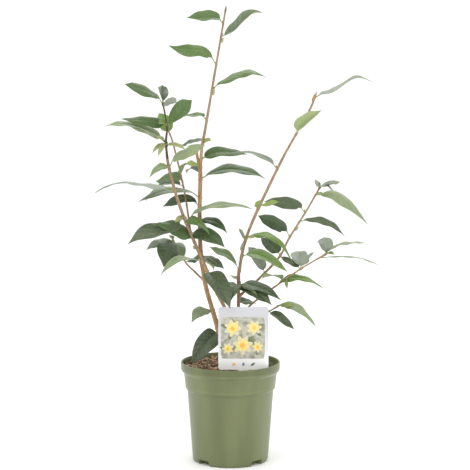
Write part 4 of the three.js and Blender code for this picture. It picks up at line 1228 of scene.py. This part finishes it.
leaf_finishes = [leaf_finish(name, *look) for name, look in GREENS.items()]
for shoot in SHOOTS:
    for number, (node, low, high) in enumerate(shoot["nodes"]):
        leaves = [blade for blade in shoot["leaves"] if low <= blade["height"] < high]
        if not leaves:
            continue
        places = places_at_heights(shoot["route"], np.array([blade["height"] for blade in leaves], float))
        rings, marks = leaf_rings(on_route(shoot["route"], places)[:, :3], leaves)
        name, nodes = node.replace("_foliage", "_leaves"), [node]
        if number == 0:
            name = f"{shoot['name']}_lone_leaves"
            nodes = [f"{shoot['name']}_leaf_{order + 1}" for order in range(len(leaves))]
        kinds = leaf_face_kinds(leaves, rings)
        add_piece(name, rings, leaf_finishes, nodes, kinds, marks, crease=55)

# Studio: a plain pale floor under an even white sky, with three wide soft lamps at the left, the right and
# the back, and the camera a little above the middle of the plant, looking slightly down.
CAMERA_PLACE = (0.0079, -2.6, 0.69)
CAMERA_PITCH = 83.38
FOCAL_PIXELS = 1543
PHOTO_PIXELS = 470
SENSOR = 36
SKY = 1.1
FLOOR_REACH = 12
LAMP_AIM = [0, 0, 0.4]
# Place, width and power of each lamp
LAMPS = [
    ((-1.5, -1.6, 2.6), 1.8, 18),
    ((1.6, -1.2, 1.8), 1.6, 8),
    ((0.2, 1.8, 2.2), 1.6, 12),
]

floor_mesh = bpy.data.meshes.new("floor")
corners = [(x * FLOOR_REACH, y * FLOOR_REACH, 0) for x, y in [(-1, -1), (1, -1), (1, 1), (-1, 1)]]
floor_mesh.from_pydata(corners, [], [(0, 1, 2, 3)])
whites = [(0.3, (251, 251, 251)), (0.7, (253, 253, 253))]
paper = clouded_finish("floor_paper", whites, scale=3, detail=4, roughness=0.8, specular=0.1)
floor_mesh.materials.append(paper)
floor = bpy.data.objects.new("floor", floor_mesh)
bpy.context.scene.collection.objects.link(floor)

for number, (place, size, watts) in enumerate(LAMPS):
    lamp = bpy.data.lights.new(f"lamp_{number}", "AREA")
    lamp.energy = watts
    lamp.size = size
    holder = bpy.data.objects.new(f"lamp_{number}", lamp)
    holder.location = place
    aim = np.array(LAMP_AIM) - place
    yaw = np.arctan2(aim[1], aim[0]) - np.pi / 2
    tilt = np.arctan2(np.hypot(aim[0], aim[1]), -aim[2])
    holder.rotation_euler = (tilt, 0, yaw)
    bpy.context.scene.collection.objects.link(holder)

world = bpy.data.worlds.new("studio_sky")
world.use_nodes = True
sky = world.node_tree.nodes["Background"]
sky.inputs["Color"].default_value = (1, 1, 1, 1)
sky.inputs["Strength"].default_value = SKY
bpy.context.scene.world = world
bpy.context.scene.view_settings.view_transform = "Standard"

camera = bpy.data.cameras.new("camera")
camera.sensor_width = SENSOR
camera.lens = FOCAL_PIXELS / PHOTO_PIXELS * SENSOR
viewer = bpy.data.objects.new("camera", camera)
viewer.location = CAMERA_PLACE
viewer.rotation_euler = (np.radians(CAMERA_PITCH), 0, 0)
bpy.context.scene.collection.objects.link(viewer)
bpy.context.scene.camera = viewer
